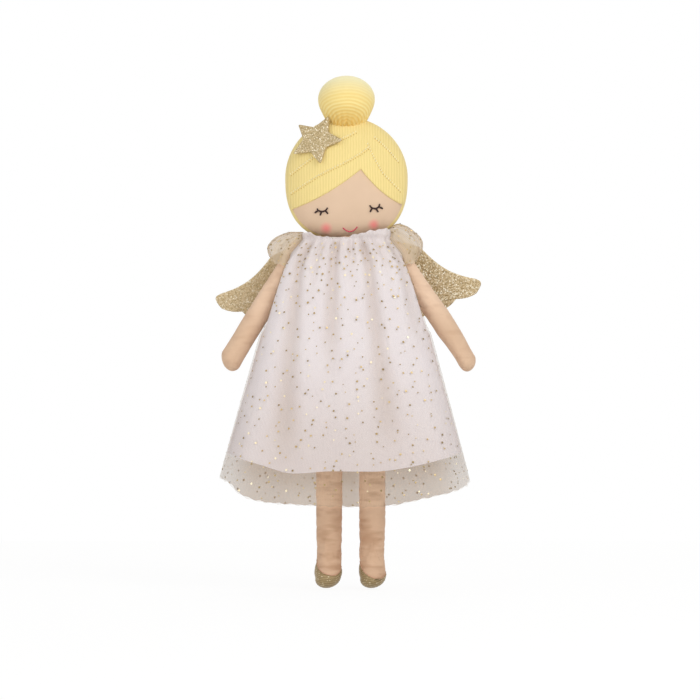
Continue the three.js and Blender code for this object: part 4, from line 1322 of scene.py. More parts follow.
@dataclass
class Star:
    """A felt star with softened points, lying on the front hair."""

    form: HeadForm
    wardrobe: Wardrobe
    point: float = 25.9
    waist: float = 13.2
    # Share of a side that is rounded off at the points and at the waists.
    rounding: Pair = (0.14, 0.08)
    thick: float = 2.2
    tilt: float = 29.0
    off: Pair = (-27.8, 34.6)
    turn: float = -24.0
    lift: float = 1.5
    gap: float = 0.6

    def _outline(self) -> list[Vector]:
        """Draw the star's edge, with rounded corners.

        Returns:
            X and Z in its own plane.
        """
        corners = []
        for i in range(10):
            angle = math.radians(self.turn) + math.pi / 2 + TURN * i / 10
            radius = self.waist if i % 2 else self.point
            corners.append(Vector((radius * math.cos(angle), radius * math.sin(angle))))
        line: list[Vector] = []
        for i, corner in enumerate(corners):
            cut = self.rounding[i % 2]
            start, end = corner.lerp(corners[i - 1], cut), corner.lerp(corners[(i + 1) % 10], cut)
            line += [pulled([start, corner, end], k / 6) for k in range(7)]
        return line

    def build(self) -> list[Object]:
        """Make the star.

        Returns:
            The one piece.
        """
        half = self.thick / 2
        shells = [(0.55, half), (0.9, half), (0.97, 0.86 * half), (1.0, 0.45 * half)]
        shells += [(share, -y) for share, y in reversed(shells)]
        outline = self._outline()
        rows = [[Vector((p.x * s, -y, p.y * s)) for p in outline] for s, y in shells]
        mesh = loft(rows, first=Vector((0, -half, 0)), last=Vector((0, half, 0)))
        star = make_piece("glitter_star", mesh, self.wardrobe.star_glitter)
        star.data.transform(self._seat())
        declare(star, "head", "glitter_felt", "star")
        return [star]

    def _seat(self) -> Matrix:
        """Find where the star lies flat against the roundest part of the hair under it.

        Returns:
            Its turn and place, in metres.
        """
        out = Vector(self.off).normalized()
        slope = out * math.sin(math.radians(self.tilt))
        normal = Vector((slope.x, -math.cos(math.radians(self.tilt)), slope.y))
        steps = range(int(Vector(self.off).length + self.point) + 1)
        seats = (self.form.front(*(out * min(r, self.form.half)), self.lift) for r in steps)
        stand = max(seat.dot(normal) for seat in seats) + self.gap + self.thick / 2
        x, z = self.off[0], self.form.centre_z + self.off[1]
        y = (stand - x * normal.x - z * normal.z) / normal.y
        turn = Vector((0, -1, 0)).rotation_difference(normal).to_matrix().to_4x4()
        return Matrix.Translation(Vector((x, y, z)) * MM) @ turn


@dataclass(frozen=True)
class EyeStitches:
    """One closed eye: its lid line and its lashes, from the eye's middle."""

    node: str
    centre: Pair
    lid: Pairs
    lashes: tuple[tuple[Pair, Pair], ...]


@dataclass
class StitchedFace:
    """Closed eyes with lashes and a small smile, in thread laid on the face."""

    form: HeadForm
    wardrobe: Wardrobe
    thread: float = 0.85
    lip: float = 0.6
    eyes: tuple[EyeStitches, ...] = (
        EyeStitches(
            "eye_stitches_right",
            (-22.9, -31.6),
            ((-4.5, 2.1), (-3.2, 0.1), (0.0, -0.8), (3.3, 0.0), (5.3, 2.7)),
            (((-3.3, 0.3), (-6.6, -1.9)), ((-0.3, -0.7), (-1.6, -4.2)), ((3.3, 0.0), (5.6, -2.8))),
        ),
        EyeStitches(
            "eye_stitches_left",
            (26.9, -28.7),
            ((-5.3, 2.0), (-3.0, -0.4), (0.0, -0.9), (3.2, 0.7), (4.1, 3.4)),
            (((-3.0, -0.5), (-4.9, -4.0)), ((0.4, -0.9), (2.7, -3.9)), ((3.5, 0.8), (6.9, -0.8))),
        ),
    )
    mouth: Pair = (3.4, -46.8)
    mouth_half: float = 6.8
    mouth_sag: float = 3.9
    mouth_slant: float = 4.0

    def build(self) -> list[Object]:
        """The eyes and the mouth."""
        return [*(self._eye(eye) for eye in self.eyes), self._smile()]

    def _laid(self, line: list[Vector], half: float, ends: float) -> Mesh:
        """Lay a thread along a line on the face, thinner towards its ends."""
        path = [self.form.front(p.x, p.y, 0.55 * half) for p in line]
        return tube(path, lambda t: half * mix(ends, 1.0, min(1.0, 5 * t, 5 * (1 - t))), 10)

    def _eye(self, eye: EyeStitches) -> Object:
        """Stitch one closed eye: a lid line with three lashes below it.

        Args:
            eye: Its lines.

        Returns:
            The thread.
        """
        centre = Vector(eye.centre)
        places = [mix(eye.lid[0][0], eye.lid[-1][0], k / 24) for k in range(25)]
        lines = [[Vector((x, through(eye.lid, x))) for x in places]]
        lines += [[Vector(root).lerp(Vector(end), k / 6) for k in range(7)] for root, end in eye.lashes]
        parts = [self._laid([centre + p for p in line], self.thread, 0.8) for line in lines]
        stitches = make_piece(eye.node + "_thread", joined(parts), self.wardrobe.dark)
        return declare(stitches, "head", "dark_thread", eye.node)

    def _smile(self) -> Object:
        """Back-stitch the mouth.

        Returns:
            The thread.
        """
        turn = Matrix.Rotation(math.radians(self.mouth_slant), 2)
        places = [k / 15 - 1 for k in range(31)]
        hang = [Vector((self.mouth_half * t, self.mouth_sag * (t * t - 1))) for t in places]
        arc = [turn @ p + Vector(self.mouth) for p in hang]
        parts = [self._laid(arc[k : k + 6], self.lip, 0.7) for k in range(0, 30, 5)]
        mouth = make_piece("mouth_thread", joined(parts), self.wardrobe.pink)
        return declare(mouth, "head", "pink_thread", "mouth_stitches")


@dataclass
class Body:
    """The stuffed torso, the neck stem and the unstuffed strip at the seat, all under the dress."""

    wardrobe: Wardrobe
    levels: tuple[Triple, ...] = (
        (-66.0, 33.0, 2.4),
        (-46.0, 39.0, 18.0),
        (0.0, 32.0, 20.0),
        (46.0, 40.0, 20.0),
        (69.0, 38.0, 17.0),
        (74.0, 26.0, 14.5),
    )
    sides: int = 96
    rows: int = 60
    neck_radius: float = 12.0
    neck_ball: float = 13.0
    neck_foot: float = 63.0
    neck_pivot: float = 82.0
    neck_sides: int = 48
    # How far the neck stays inside its solid.
    neck_slack: float = 0.3
    strip_top: float = -66.6
    strip_low: float = -78.6
    strip_half: float = 33.0
    strip_cloth: float = 1.4
    strip_columns: int = 48
    shoulder: Pair = (45.5, 71.0)
    socket: float = 9.6

    def build(self) -> list[Object]:
        """The torso, the neck and the strip."""
        return [self._torso(), self._neck(), self._strip()]

    def _torso(self) -> Object:
        """Stuff the torso, dented where the arms are sewn on.

        Returns:
            The torso.
        """
        widths = [(z, w) for z, w, _ in self.levels]
        depths = [(z, d) for z, _, d in self.levels]
        low, high = self.levels[0][0], self.levels[-1][0]
        rows: Rows = []
        for r in range(self.rows + 1):
            z = mix(low, high, r / self.rows)
            wide, deep = through(widths, z), through(depths, z)
            row = [Vector((wide * math.cos(turn), deep * math.sin(turn), z)) for turn in turns(self.sides)]
            rows.append([self._clear_of_arm(p * (1 + 0.012 * ripple(p, (18, 18, 9)))) for p in row])
        mesh = loft(rows, first=Vector((0, 0, low)), last=Vector((0, 0, high)))
        torso = make_piece("torso", mesh, self.wardrobe.skin)
        declare(torso, "torso", "jersey", "torso_front", "torso_back", "torso_filling")
        return torso

    def _clear_of_arm(self, point: Vector) -> Vector:
        """Press a point of the torso in round the arm's seam.

        Args:
            point: The point.

        Returns:
            The point, moved where an arm is sewn on.
        """
        for side in Side:
            away = point - Vector((side.value * self.shoulder[0], 0, self.shoulder[1]))
            if away.length < self.socket:
                point = Vector((point.x - side.value * (self.socket - away.length), point.y, point.z))
        return point

    def _neck(self) -> Object:
        """Roll the stuffed neck stem with a round top.

        Returns:
            The neck.
        """
        profile = [(self.neck_radius, mix(self.neck_foot, self.neck_pivot - 5, k / 8)) for k in range(9)]
        start = -math.acos(self.neck_radius / self.neck_ball)
        angles = [mix(start, math.pi / 2, k / 12) for k in range(12)]
        ball, pivot = self.neck_ball, self.neck_pivot
        profile += [(ball * math.cos(a), pivot + ball * math.sin(a)) for a in angles]
        rows: Rows = []
        for radius, z in profile:
            row = []
            for turn in turns(self.neck_sides):
                around = Vector((10 * math.cos(turn), 10 * math.sin(turn), z))
                out = radius - self.neck_slack + 0.25 * ripple(around, (8, 8, 4))
                row.append(Vector((out * math.cos(turn), out * math.sin(turn), z)))
            rows.append(row)
        foot = Vector((0, 0, self.neck_foot))
        tip = Vector((0, 0, self.neck_pivot + self.neck_ball - self.neck_slack))
        neck = make_piece("neck", loft(rows, first=foot, last=tip), self.wardrobe.skin)
        declare(neck, "neck", "jersey", "neck_stem")
        return neck

    def _strip(self) -> Object:
        """Fold the unstuffed strip, a flat double cloth that waves a little.

        Returns:
            The strip.
        """
        rows: Rows = []
        for k in range(9):
            z = mix(self.strip_top, self.strip_low, k / 8)
            front, back = [], []
            for c in range(self.strip_columns + 1):
                x = mix(-self.strip_half, self.strip_half, c / self.strip_columns)
                half = 0.5 * self.strip_cloth * math.sqrt(max(1 - (x / self.strip_half) ** 8, 0.02))
                sway = 0.3 * math.sin(x / 4.5) * (k / 8)
                front.append(Vector((x, sway - half, z)))
                back.append(Vector((x, sway + half, z)))
            rows.append(front + back[::-1])
        mesh = loft(rows, first=Vector((0, 0, self.strip_top)), last=Vector((0, 0, self.strip_low)))
        strip = make_piece("seat_strip", mesh, self.wardrobe.skin)
        declare(strip, "hips", "jersey", "hip_strip")
        return strip


@dataclass
class Arms:
    """Two stuffed jersey arms, sewn on at the shoulder and lying against the skirt."""

    wardrobe: Wardrobe
    shoulder: Pair = (45.5, 71.0)
    splay: float = 31.5
    left_lift: float = 0.3
    halves: Pairs = ((0.0, 9.0), (37.0, 10.6), (79.0, 11.2), (119.5, 11.0))
    length: float = 119.5
    # How far a hand's outer side stays behind its inner side, by the doll's right and left.
    right_slant: float = 0.3
    left_slant: float = -0.04
    left_longer: float = 3.8
    # The left arm bows outwards above its hand, which narrows on its inner side.
    left_bow: float = 2.2
    left_narrow: float = 0.34
    # Depth of the soft unevenness and of the creases inside the elbow.
    uneven: float = 0.22
    elbow: float = 0.5
    sides: int = 56
    rows: int = 72
    # How far from the shoulder the cloth is sewn fast, and where the dress stops covering it, over which the
    # painted light that offsets its shadow fades out.
    sewn: float = 14.0
    shown: Pair = (50.0, 95.0)

    def _seat(self, side: Side) -> Matrix:
        """Find the turn and place of an arm.

        Args:
            side: Which arm.

        Returns:
            The matrix, in millimetres.
        """
        shift = Matrix.Translation((side.value * self.shoulder[0], 0, self.shoulder[1]))
        splay = self.splay + (self.left_lift if side is Side.LEFT else 0.0)
        return shift @ Matrix.Rotation(math.radians(-side.value * splay), 4, "Y")

    def _mesh(self, side: Side) -> Mesh:
        """Sew rings down the arm, with soft creases inside the elbow.

        Args:
            side: Which arm.

        Returns:
            Points and faces.
        """
        length = self.length + (self.left_longer if side is Side.LEFT else 0.0)
        ball, hand = self.halves[0][1], self.halves[-1][1]
        shares = [length * k / self.rows for k in range(self.rows + 1)]
        top = [math.pi * k / 16 for k in range(1, 8)]
        stations = [(-ball * math.cos(a), ball * math.sin(a)) for a in top]
        stations += [(down, through(self.halves, down)) for down in shares]
        tip = [math.pi * k / 24 for k in range(1, 12)]
        stations += [(length + hand * math.sin(a), hand * math.cos(a)) for a in tip]
        seat = self._seat(side)
        hand_slant = self.left_slant if side is Side.LEFT else self.right_slant
        rows: Rows = []
        for down, half in stations:
            row = []
            crease = smooth(18, 40, down) * (1 - smooth(62, 95, down))
            for turn in turns(self.sides):
                at = Vector((half * math.cos(turn), half * math.sin(turn), -down))
                soft = self.uneven * ripple(at, (16, 16, 13), 3 * side.value)
                fold = self.elbow * crease * ripple(at, (11, 11, 4.5), 7 + 5 * side.value)
                out = 1 + (soft + fold) / max(half, 4)
                slant = hand_slant * side.value * at.x * smooth(105, 133, down)
                bowed = self._bowed(at.x * out, down) if side is Side.LEFT else at.x * out
                row.append(seat @ Vector((bowed, at.y * out, at.z + slant)))
            rows.append(row)
        return loft(rows, first=seat @ Vector((0, 0, ball)), last=seat @ Vector((0, 0, -length - hand)))

    def _bowed(self, x: float, down: float) -> float:
        """Bow the left arm.

        Args:
            x: A point's place across the straight arm.
            down: Its distance below the shoulder.

        Returns:
            Its place across the bowed arm.
        """
        bow = self.left_bow * smooth(35, 85, down) * (1 - smooth(95, 135, down))
        narrow = self.left_narrow * smooth(85, 125, down) if x < 0 else 0.0
        return x * (1 - narrow) + bow

    def build(self) -> list[Object]:
        """Make both arms.

        Returns:
            The arms.
        """
        pieces = []
        for side in Side:
            arm = make_piece(f"stuffed_arm_{side.word}", self._mesh(side), self.wardrobe.skin)
            seam = Vector((side.value * self.shoulder[0], 0, self.shoulder[1])) * MM
            Stuffing().swell(arm, lambda p: (p - seam).length < self.sewn * MM)
            away = [(v.co - seam).length / MM for v in arm.data.vertices]
            # Painted light where the dress shades the arm, fading out below the dress.
            set_tone(arm, "painted_light_under_dress", [1 - smooth(*self.shown, far) for far in away])
            declare(arm, f"arm_{side.word}", "jersey", f"arm_{side.word}", f"arm_{side.word}_filling")
            pieces.append(arm)
        return pieces


@dataclass(frozen=True)
class ShoeCut:
    """One shoe: its rim's height on its -X side, the rim's fall to its +X side, and the foot's turn."""

    height: float
    fall: float
    sway: float
    # Flat area of the knit, in square metres.
    area: float


@dataclass
class Legs:
    """Two long stuffed legs and the knitted shoes on their feet."""

    wardrobe: Wardrobe
    pivot_z: float = -83.8
    pitch: float = 40.5
    shift: float = 4.0
    length: float = 162.0
    wall: float = 1.7
    ball: float = 10.5
    thigh: Pair = (32.0, 12.9)
    calf: Pair = (81.0, 13.3)
    shin: Pair = (120.0, 12.6)
    ankle: float = 11.5
    foot_height: float = 26.0
    toe_forward: float = 5.0
    toe_swell: float = 2.6
    sole_share: float = 0.3
    sole_lean: float = -1.8
    cuts: dict[Side, ShoeCut] = field(
        default_factory=lambda: {
            Side.RIGHT: ShoeCut(26.0, 6.0, -1.0, 0.00172),
            Side.LEFT: ShoeCut(25.0, 10.0, 0.5, 0.00149),
        }
    )
    vamp_drop: float = 9.8
    vamp_turn: float = 80.0
    # Where the ribs of a shoe start: from its tip to the inner side, forward and up.
    vamp: Triple = (-1.5, -12.0, 22.0)
    edge: float = 0.42
    sides: int = 56
    rows: int = 96
    shoe_rows: int = 22
    # Depth of the soft folds across the leg and of the sharp creases.
    slack: float = 0.4
    pinch: float = 0.5
    # The cloth is sewn fast above the first of these distances below the hip and below the second.
    sewn: Pair = (6.0, 136.0)
    # Where the painted light that offsets the dress's shadow fades out, by distance below the hip.
    shown: Pair = (80.0, 92.0)

    def _axis(self, side: Side) -> float:
        """X of a leg's middle."""
        return self.shift + side.value * self.pitch / 2

    def _profile(self) -> tuple[list[Pair], list[Pair], list[Pair]]:
        """Shape the leg, by distance below the hip.

        Returns:
            Its half width, half depth and forward shift.
        """
        sole = self.length - self.wall
        shares = ((0.95, 1.0, 0.0), (0.5, 1.04, 0.8), (self.sole_share, 0.95, 1.0))
        feet = [(sole - self.foot_height * up, self.ankle * w, toe) for up, w, toe in shares]
        limb = [(0.0, self.ball), self.thigh, self.calf, self.shin]
        widths = [*limb, *((d, w) for d, w, _ in feet)]
        depths = [*limb, *((d, w + self.toe_swell * toe) for d, w, toe in feet)]
        shifts = [(0.0, 0.0), (self.shin[0], 0.0), *((d, -self.toe_forward * toe) for d, _, toe in feet)]
        return widths, depths, shifts

    def _ring_point(self, down: float, turn: float, grow: float, side: Side) -> Vector:
        """Find a point of the leg's skin, or of a layer over it.

        Args:
            down: Distance below the hip.
            turn: Angle from +X.
            grow: Millimetres outside the skin.
            side: Which leg.

        Returns:
            The point.
        """
        widths, depths, shifts = self._profile()
        forward = through(shifts, down)
        sway = self.cuts[side].sway * forward / self.toe_forward
        x = (through(widths, down) + grow) * math.cos(turn) - sway
        y = (through(depths, down) + grow) * math.sin(turn) + forward
        return Vector((self._axis(side) + x, y, self.pivot_z - down))

    def _creased(self, point: Vector, side: Side) -> Vector:
        """Wrinkle the skin across the leg, as slack jersey does over filling.

        Args:
            point: A point of the stuffed leg.
            side: Which leg.

        Returns:
            The point on a soft fold, or pinched into a crease.
        """
        down = self.pivot_z - point.z
        free = smooth(2, 14, down) * (1 - smooth(126, 137, down))
        soft = self.slack * ripple(point, (26, 26, 9.0), 11 * side.value)
        line = ripple(point, (30, 30, 9.0), 23 * side.value)
        pinch = self.pinch * max(1 - 3.5 * abs(line), 0.0) ** 1.5
        out = (point - Vector((self._axis(side), 0, point.z))).normalized()
        return point + out * free * (soft - pinch)

    def _last(self) -> float:
        """How far below the hip the foot starts to round off."""
        return self.length - self.wall - self.sole_share * self.foot_height

    def _tip(self, side: Side, down: float) -> Vector:
        """The middle of a sole, at a distance below the hip."""
        sway = self.cuts[side].sway + self.sole_lean
        return Vector((self._axis(side) + sway, -self.toe_forward, self.pivot_z - down))

    def _leg(self, side: Side) -> Object:
        """Stuff one leg.

        Args:
            side: Which leg.

        Returns:
            The leg.
        """
        stations = [-self.ball * math.cos(math.pi * k / 16) for k in range(1, 8)]
        stations += [self._last() * k / self.rows for k in range(self.rows + 1)]
        rows: Rows = []
        for down in stations:
            shrink = math.sqrt(max(self.ball**2 - down**2, 0)) - self.ball if down < 0 else 0.0
            row = [self._ring_point(max(down, 0), turn, shrink, side) for turn in turns(self.sides)]
            for point in row:
                point.z = self.pivot_z - down
            rows.append(row)
        tip = self._tip(side, self.length - self.wall)
        rows += self._sole(rows[-1], tip.z)
        top = Vector((self._axis(side), 0, self.pivot_z + self.ball))
        leg = make_piece(f"stuffed_leg_{side.word}", loft(rows, first=top, last=tip), self.wardrobe.leg_skin)
        hip, cuff = ((self.pivot_z - down) * MM for down in self.sewn)
        Stuffing().swell(leg, lambda p: p.z > hip or p.z < cuff)
        for vertex in leg.data.vertices:
            vertex.co = self._creased(vertex.co / MM, side) * MM
        downs = [self.pivot_z - v.co.z / MM for v in leg.data.vertices]
        # Painted light where the dress shades the leg, fading out below the dress.
        set_tone(leg, "painted_light_under_dress", [1 - smooth(*self.shown, down) for down in downs])
        declare(leg, f"leg_{side.word}", "jersey", f"leg_{side.word}", f"leg_{side.word}_filling")
        return leg

    def _sole(self, row: list[Vector], low: float) -> Rows:
        """Round a foot off below its last row.

        Args:
            row: The last row of the foot.
            low: Height of the sole.

        Returns:
            Rows that close in to the sole.
        """
        middle = sum(row, Vector()) / len(row)
        rows: Rows = []
        for k in range(1, 6):
            angle = 0.5 * math.pi * k / 6
            drop = (middle.z - low) * math.sin(angle)
            off = Vector((self.sole_lean * math.sin(angle), 0, -drop))
            rows.append([(p - middle) * math.cos(angle) + middle + off for p in row])
        return rows

    def _rim(self, turn: float, side: Side) -> float:
        """Find where the shoe starts: lower at the front, where the vamp is cut out.

        Args:
            turn: Angle from +X.
            side: Which shoe.

        Returns:
            The distance below the hip.
        """
        cut = self.cuts[side]
        side_rim = self.length - cut.height + 0.5 * cut.fall * (1 + math.cos(turn))
        off = abs(math.remainder(turn + math.pi / 2, TURN)) / math.radians(self.vamp_turn)
        return side_rim + self.vamp_drop * max(1 - off**2.3, 0)

    def _shoe(self, side: Side) -> Object:
        """Knit one shoe, thinner towards its opening.

        Args:
            side: Which shoe.

        Returns:
            The shoe.
        """
        rims = [(turn, self._rim(turn, side)) for turn in turns(self.sides)]
        rows: Rows = []
        for r in range(self.shoe_rows + 1):
            roll = 0.15 + (self.wall - 0.8) * smooth(0.0, 9.0, r)
            downs = [(turn, mix(rim, self._last(), r / self.shoe_rows)) for turn, rim in rims]
            rows.append([self._ring_point(down, turn, roll, side) for turn, down in downs])
        tip = self._tip(side, self.length)
        rows += self._sole(rows[-1], tip.z)
        inward, forward, up = self.vamp
        start = (tip.x + inward * side.value, forward, tip.z + up)
        knit = MetallicKnit(f"metallic_knit_{side.word}", start).build()
        shoe = make_piece(f"knit_shoe_{side.word}", loft(rows, last=tip), knit)
        declare(shoe, f"leg_{side.word}", "glitter_felt", f"shoe_{side.word}")
        return shoe

    def _edge(self, side: Side) -> Object:
        """Overlock a shoe's opening with a soft roll.

        Args:
            side: Which shoe.

        Returns:
            The roll.
        """
        path = [self._ring_point(self._rim(turn, side), turn, 0.2, side) for turn in turns(self.sides)]
        mesh = tube(path, lambda t: self.edge, 8, loop=True)
        roll = make_piece(f"shoe_edge_{side.word}", mesh, self.wardrobe.overlock)
        return declare(roll, f"leg_{side.word}", "jersey")

    def build(self) -> list[Object]:
        """Both legs, with their shoes and edges."""
        return [make(side) for side in Side for make in (self._leg, self._shoe, self._edge)]


@dataclass(frozen=True)
class Fold:
    """A valley in the front of the skirt, by its share of the half width at the neck and at the hem."""

    place: float
    hem_place: float
    depth: float
    width: float
    low_z: float


@dataclass
class DressForm:
    """The gathered surface that the lining and the net follow, pressed in where the arms lie."""

    arms: Arms
    gather_z: float = 80.3
    hem_z: float = -142.0
    ruffle: float = 5.5
    flare: float = 2.6
    widths: Pairs = ((-142.0, 112.5), (59.0, 60.0), (80.3, 41.0))
    depths: Pairs = ((-142.0, 60.0), (59.0, 29.0), (80.3, 22.0))
    squareness: float = 3.2
    # Depth of the skirt as a share of its width, for spacing the columns.
    flatness: float = 0.53
    bust_round: float = 2.2
    hem_sway: float = -2.0
    back_neck: float = 86.0
    back_dip: float = 5.0
    pleats: int = 12
    fold_neck: float = 0.7
    fold_hem: float = 3.4
    torso_half: float = 40.8
    arm_gap: float = 3.4
    columns: int = 288
    neck_edge: Pairs = (
        (-1.0, 85.0),
        (-0.86, 88.0),
        (-0.6, 84.2),
        (-0.2, 82.4),
        (0.0, 83.2),
        (0.2, 85.6),
        (0.65, 90.0),
        (0.86, 91.0),
        (1.0, 87.0),
    )
    net_edge: Pairs = (
        (-1.0, -142.0),
        (-0.92, -146.0),
        (-0.79, -157.8),
        (-0.63, -163.2),
        (-0.24, -166.3),
        (0.1, -167.6),
        (0.35, -166.3),
        (0.54, -162.2),
        (0.96, -149.4),
        (1.0, -145.0),
    )
    lining_edge: Pairs = (
        (-1.0, -119.0),
        (-0.73, -128.0),
        (-0.41, -136.6),
        (-0.09, -134.6),
        (0.23, -135.0),
        (0.55, -130.8),
        (1.0, -118.5),
    )
    folds: tuple[Fold, ...] = (
        Fold(-0.76, -0.49, 3.9, 0.07, -150.0),
        Fold(-0.5, -0.35, 2.0, 0.05, 5.0),
        Fold(-0.21, -0.12, 3.7, 0.07, -60.0),
        Fold(0.08, 0.1, 2.2, 0.05, 20.0),
        Fold(0.34, 0.42, 3.9, 0.07, -130.0),
        Fold(0.62, 0.6, 1.9, 0.05, 20.0),
        Fold(0.87, 0.8, 2.6, 0.06, -40.0),
    )
    # How much more the net covers for each millimetre of a valley, which is painted shade, and how much
    # closer it lies at the gathers and at the sides.
    valley_shade_share: float = 0.07
    gather_share: float = 0.11
    side_share: float = 0.1

    def __post_init__(self) -> None:
        """Space the columns evenly round the skirt."""
        count = 4000
        points = [self._unit(TURN * k / count + math.pi / 2, self.flatness) for k in range(count + 1)]
        lengths = [0.0]
        for a, b in zip(points, points[1:]):
            lengths.append(lengths[-1] + (b - a).length)
        self.angles: list[float] = []
        k = 0
        for i in range(self.columns + 1):
            want = lengths[-1] * i / self.columns
            while k < count - 1 and lengths[k + 1] < want:
                k += 1
            share = (want - lengths[k]) / (lengths[k + 1] - lengths[k])
            self.angles.append(TURN * (k + share) / count + math.pi / 2)

    def _unit(self, angle: float, ratio: float) -> Vector:
        """A point of the squared oval, one wide and ratio deep."""
        power = 2 / self.squareness
        return Vector((squared(math.cos(angle), power), ratio * squared(math.sin(angle), power)))

    def _angle(self, column: float) -> float:
        """A column's angle on the squared oval."""
        low = int(column) % self.columns
        return mix(self.angles[low], self.angles[low + 1], column - int(column))

    def _down(self, z: float) -> float:
        """How far a height is from the gathers to the hem, from 0 to 1."""
        return min(max((self.gather_z - z) / (self.gather_z - self.hem_z), 0.0), 1.0)

    def across(self, column: float) -> Pair:
        """A column's share of the half width, and of the half depth, which is below 0 at the front."""
        unit = self._unit(self._angle(column), 1.0)
        return unit.x, unit.y

    def neckline(self, column: float) -> float:
        """Find the ruffle's edge, uneven, and higher on the doll's left.

        Args:
            column: Which column.

        Returns:
            Its height.
        """
        turn = TURN * column / self.columns
        across, deep = self.across(column)
        bump = 0.5 * math.sin(29 * turn) + 0.45 * math.sin(17 * turn + 1.1)
        return (through(self.neck_edge, across) if deep < 0 else self.back_neck + across) + bump

    def net_hem(self, column: float) -> float:
        """Find the net's cut edge, finely scalloped, and lower at the back.

        Args:
            column: Which column.

        Returns:
            Its height.
        """
        turn = TURN * column / self.columns
        across, deep = self.across(column)
        scallop = 0.45 * math.sin(64 * turn) + 0.35 * math.sin(41 * turn + 0.7)
        return through(self.net_edge, across) - self.back_dip * max(deep, 0.0) + scallop

    def lining_hem(self, column: float) -> float:
        """The height of the lining's edge."""
        return through(self.lining_edge, self.across(column)[0])

    def _straight(self, pairs: Pairs, z: float) -> float:
        """Read straight lines through three points, rounded at the bust.

        Args:
            pairs: Height and value of each point.
            z: The height to read.

        Returns:
            The value there.
        """
        (z0, v0), (z1, v1), (z2, v2) = pairs
        low = v0 + (v1 - v0) * (z - z0) / (z1 - z0)
        high = v1 + (v2 - v1) * (z - z1) / (z2 - z1)
        return min(low, high) - self.bust_round * math.exp(-abs(low - high) / self.bust_round) * 0.5

    def _press(self, z: float, width: float) -> float:
        """Find how far the arm that lies there presses the side in.

        Args:
            z: Height.
            width: Half the width of the free skirt.

        Returns:
            The distance.
        """
        x, top = self.arms.shoulder
        splay = math.radians(self.arms.splay)
        half = through(self.arms.halves, (top - z) / math.cos(splay))
        inner = x + (top - z) * math.tan(splay) - half / math.cos(splay)
        wall = max(inner - self.arm_gap, self.torso_half)
        return (1 - smooth(top - 24, top, z)) * max(width - wall, 0.0)

    def _base(self, angle: float, z: float) -> Vector:
        """Find a point of the outline, before folds.

        Args:
            angle: Angle of the squared oval.
            z: Height.

        Returns:
            X and Y.
        """
        level = min(z, self.gather_z)
        facing = smooth(0.15, 0.7, abs(math.sin(angle)))
        flare = self.flare * facing * smooth(self.gather_z, self.gather_z + self.ruffle, z)
        width = self._straight(self.widths, level) + flare
        depth = self._straight(self.depths, level) + flare
        unit = self._unit(angle, depth / width) * width
        beside = 1 - smooth(11.0, 19.0, abs(unit.y))
        press = self._press(z, width) * beside if abs(unit.x) > 0.4 * width else 0.0
        return Vector((unit.x - math.copysign(press, unit.x) + self.hem_sway * self._down(z), unit.y))

    def _fold(self, column: float, angle: float, z: float) -> float:
        """Find how far the folds lift the cloth.

        Args:
            column: Which column.
            angle: Its angle on the squared oval.
            z: Height.

        Returns:
            The distance, below 0 in a valley.
        """
        turn = TURN * column / self.columns
        calm = smooth(0.2, 0.6, abs(math.cos(turn)))
        height = mix(self.fold_neck, self.fold_hem, self._down(z))
        wave = 0.7 * math.cos(self.pleats * turn) + 0.3 * math.cos(0.5 * self.pleats * turn)
        gathered = 1.0 - smooth(0.0, 28.0, abs(z - self.gather_z))
        fine = 0.4 * math.sin(46 * turn + 1.7 * math.sin(7 * turn))
        crimp = gathered * (fine + 0.7 * math.sin(23 * turn + 1.5 * math.sin(5 * turn)))
        if math.sin(angle) > 0:
            return calm * height * wave + crimp
        return 0.35 * calm * height * wave + crimp + 0.8 - self.valley(self._unit(angle, 0.5).x, z)

    def valley(self, across: float, z: float) -> float:
        """Find how deep the front's valleys are.

        Args:
            across: Share of the half width.
            z: Height.

        Returns:
            Millimetres below the ridges.
        """
        down = self._down(z)
        depth = 0.0
        for fold in self.folds:
            spread = fold.width * mix(1.0, 2.0, down)
            fade = smooth(fold.low_z, fold.low_z + 70.0, z) * mix(1.0, 0.75, down)
            off = across - mix(fold.place, fold.hem_place, down)
            depth += fold.depth * fade * math.exp(-((off / spread) ** 2))
        return depth * (1 - smooth(self.gather_z - 8, self.gather_z + 3, z))

    def cover_and_shade(self, column: float, z: float) -> float:
        """Tell how closely the net lies on itself below the lining, at gathers and at the sides, and where
        its cover is painted shade: just under the lining's hem, between the legs and in the valleys. The
        cover also grows towards the hem.

        Args:
            column: Which column.
            z: Height.

        Returns:
            From 0, single, to 1, double.
        """
        across, deep = self.across(column)
        hang = self.lining_hem(column) - z
        # The back layer covers more between the legs, which is painted shade there.
        back = 1.0 - 0.12 * smooth(0.06, 0.14, abs(across))
        # The net covers most just under the lining's hem, painted shade under the lining, and less at the far
        # sides.
        thin = (1 - 0.26 * smooth(2.0, 30.0, hang)) * (1 - 0.42 * smooth(0.72, 0.97, abs(across)))
        below = mix(0.08, back, smooth(-0.5, 0.5, deep)) * smooth(-2.0, 3.0, hang) * thin
        # More cover in the valleys is painted shade.
        folded = self.valley_shade_share * self.valley(across, z) if deep < 0 else 0.0
        gathered = self.gather_share * smooth(45.0, self.gather_z, z)
        beside = self.side_share * smooth(0.93, 1.0, abs(across))
        low = (0.09 + 0.1 * (1 - across * across)) * smooth(10.0, 130.0, -z)
        return min(1.0, max(below, folded + gathered + beside + low))

    def point(self, column: float, z: float, lift: float) -> Vector:
        """Find a point of the cloth.

        Args:
            column: Which column, from the middle of the back.
            z: Height.
            lift: Millimetres outside the gathered surface.

        Returns:
            The point.
        """
        angle = self._angle(column)
        here = self._base(angle, z)
        ahead = self._base(angle + 0.012, z) - self._base(angle - 0.012, z)
        out = Vector((ahead.y, -ahead.x)).normalized()
        off = lift + self._fold(column, angle, z)
        return Vector((here.x + out.x * off, here.y + out.y * off, z))

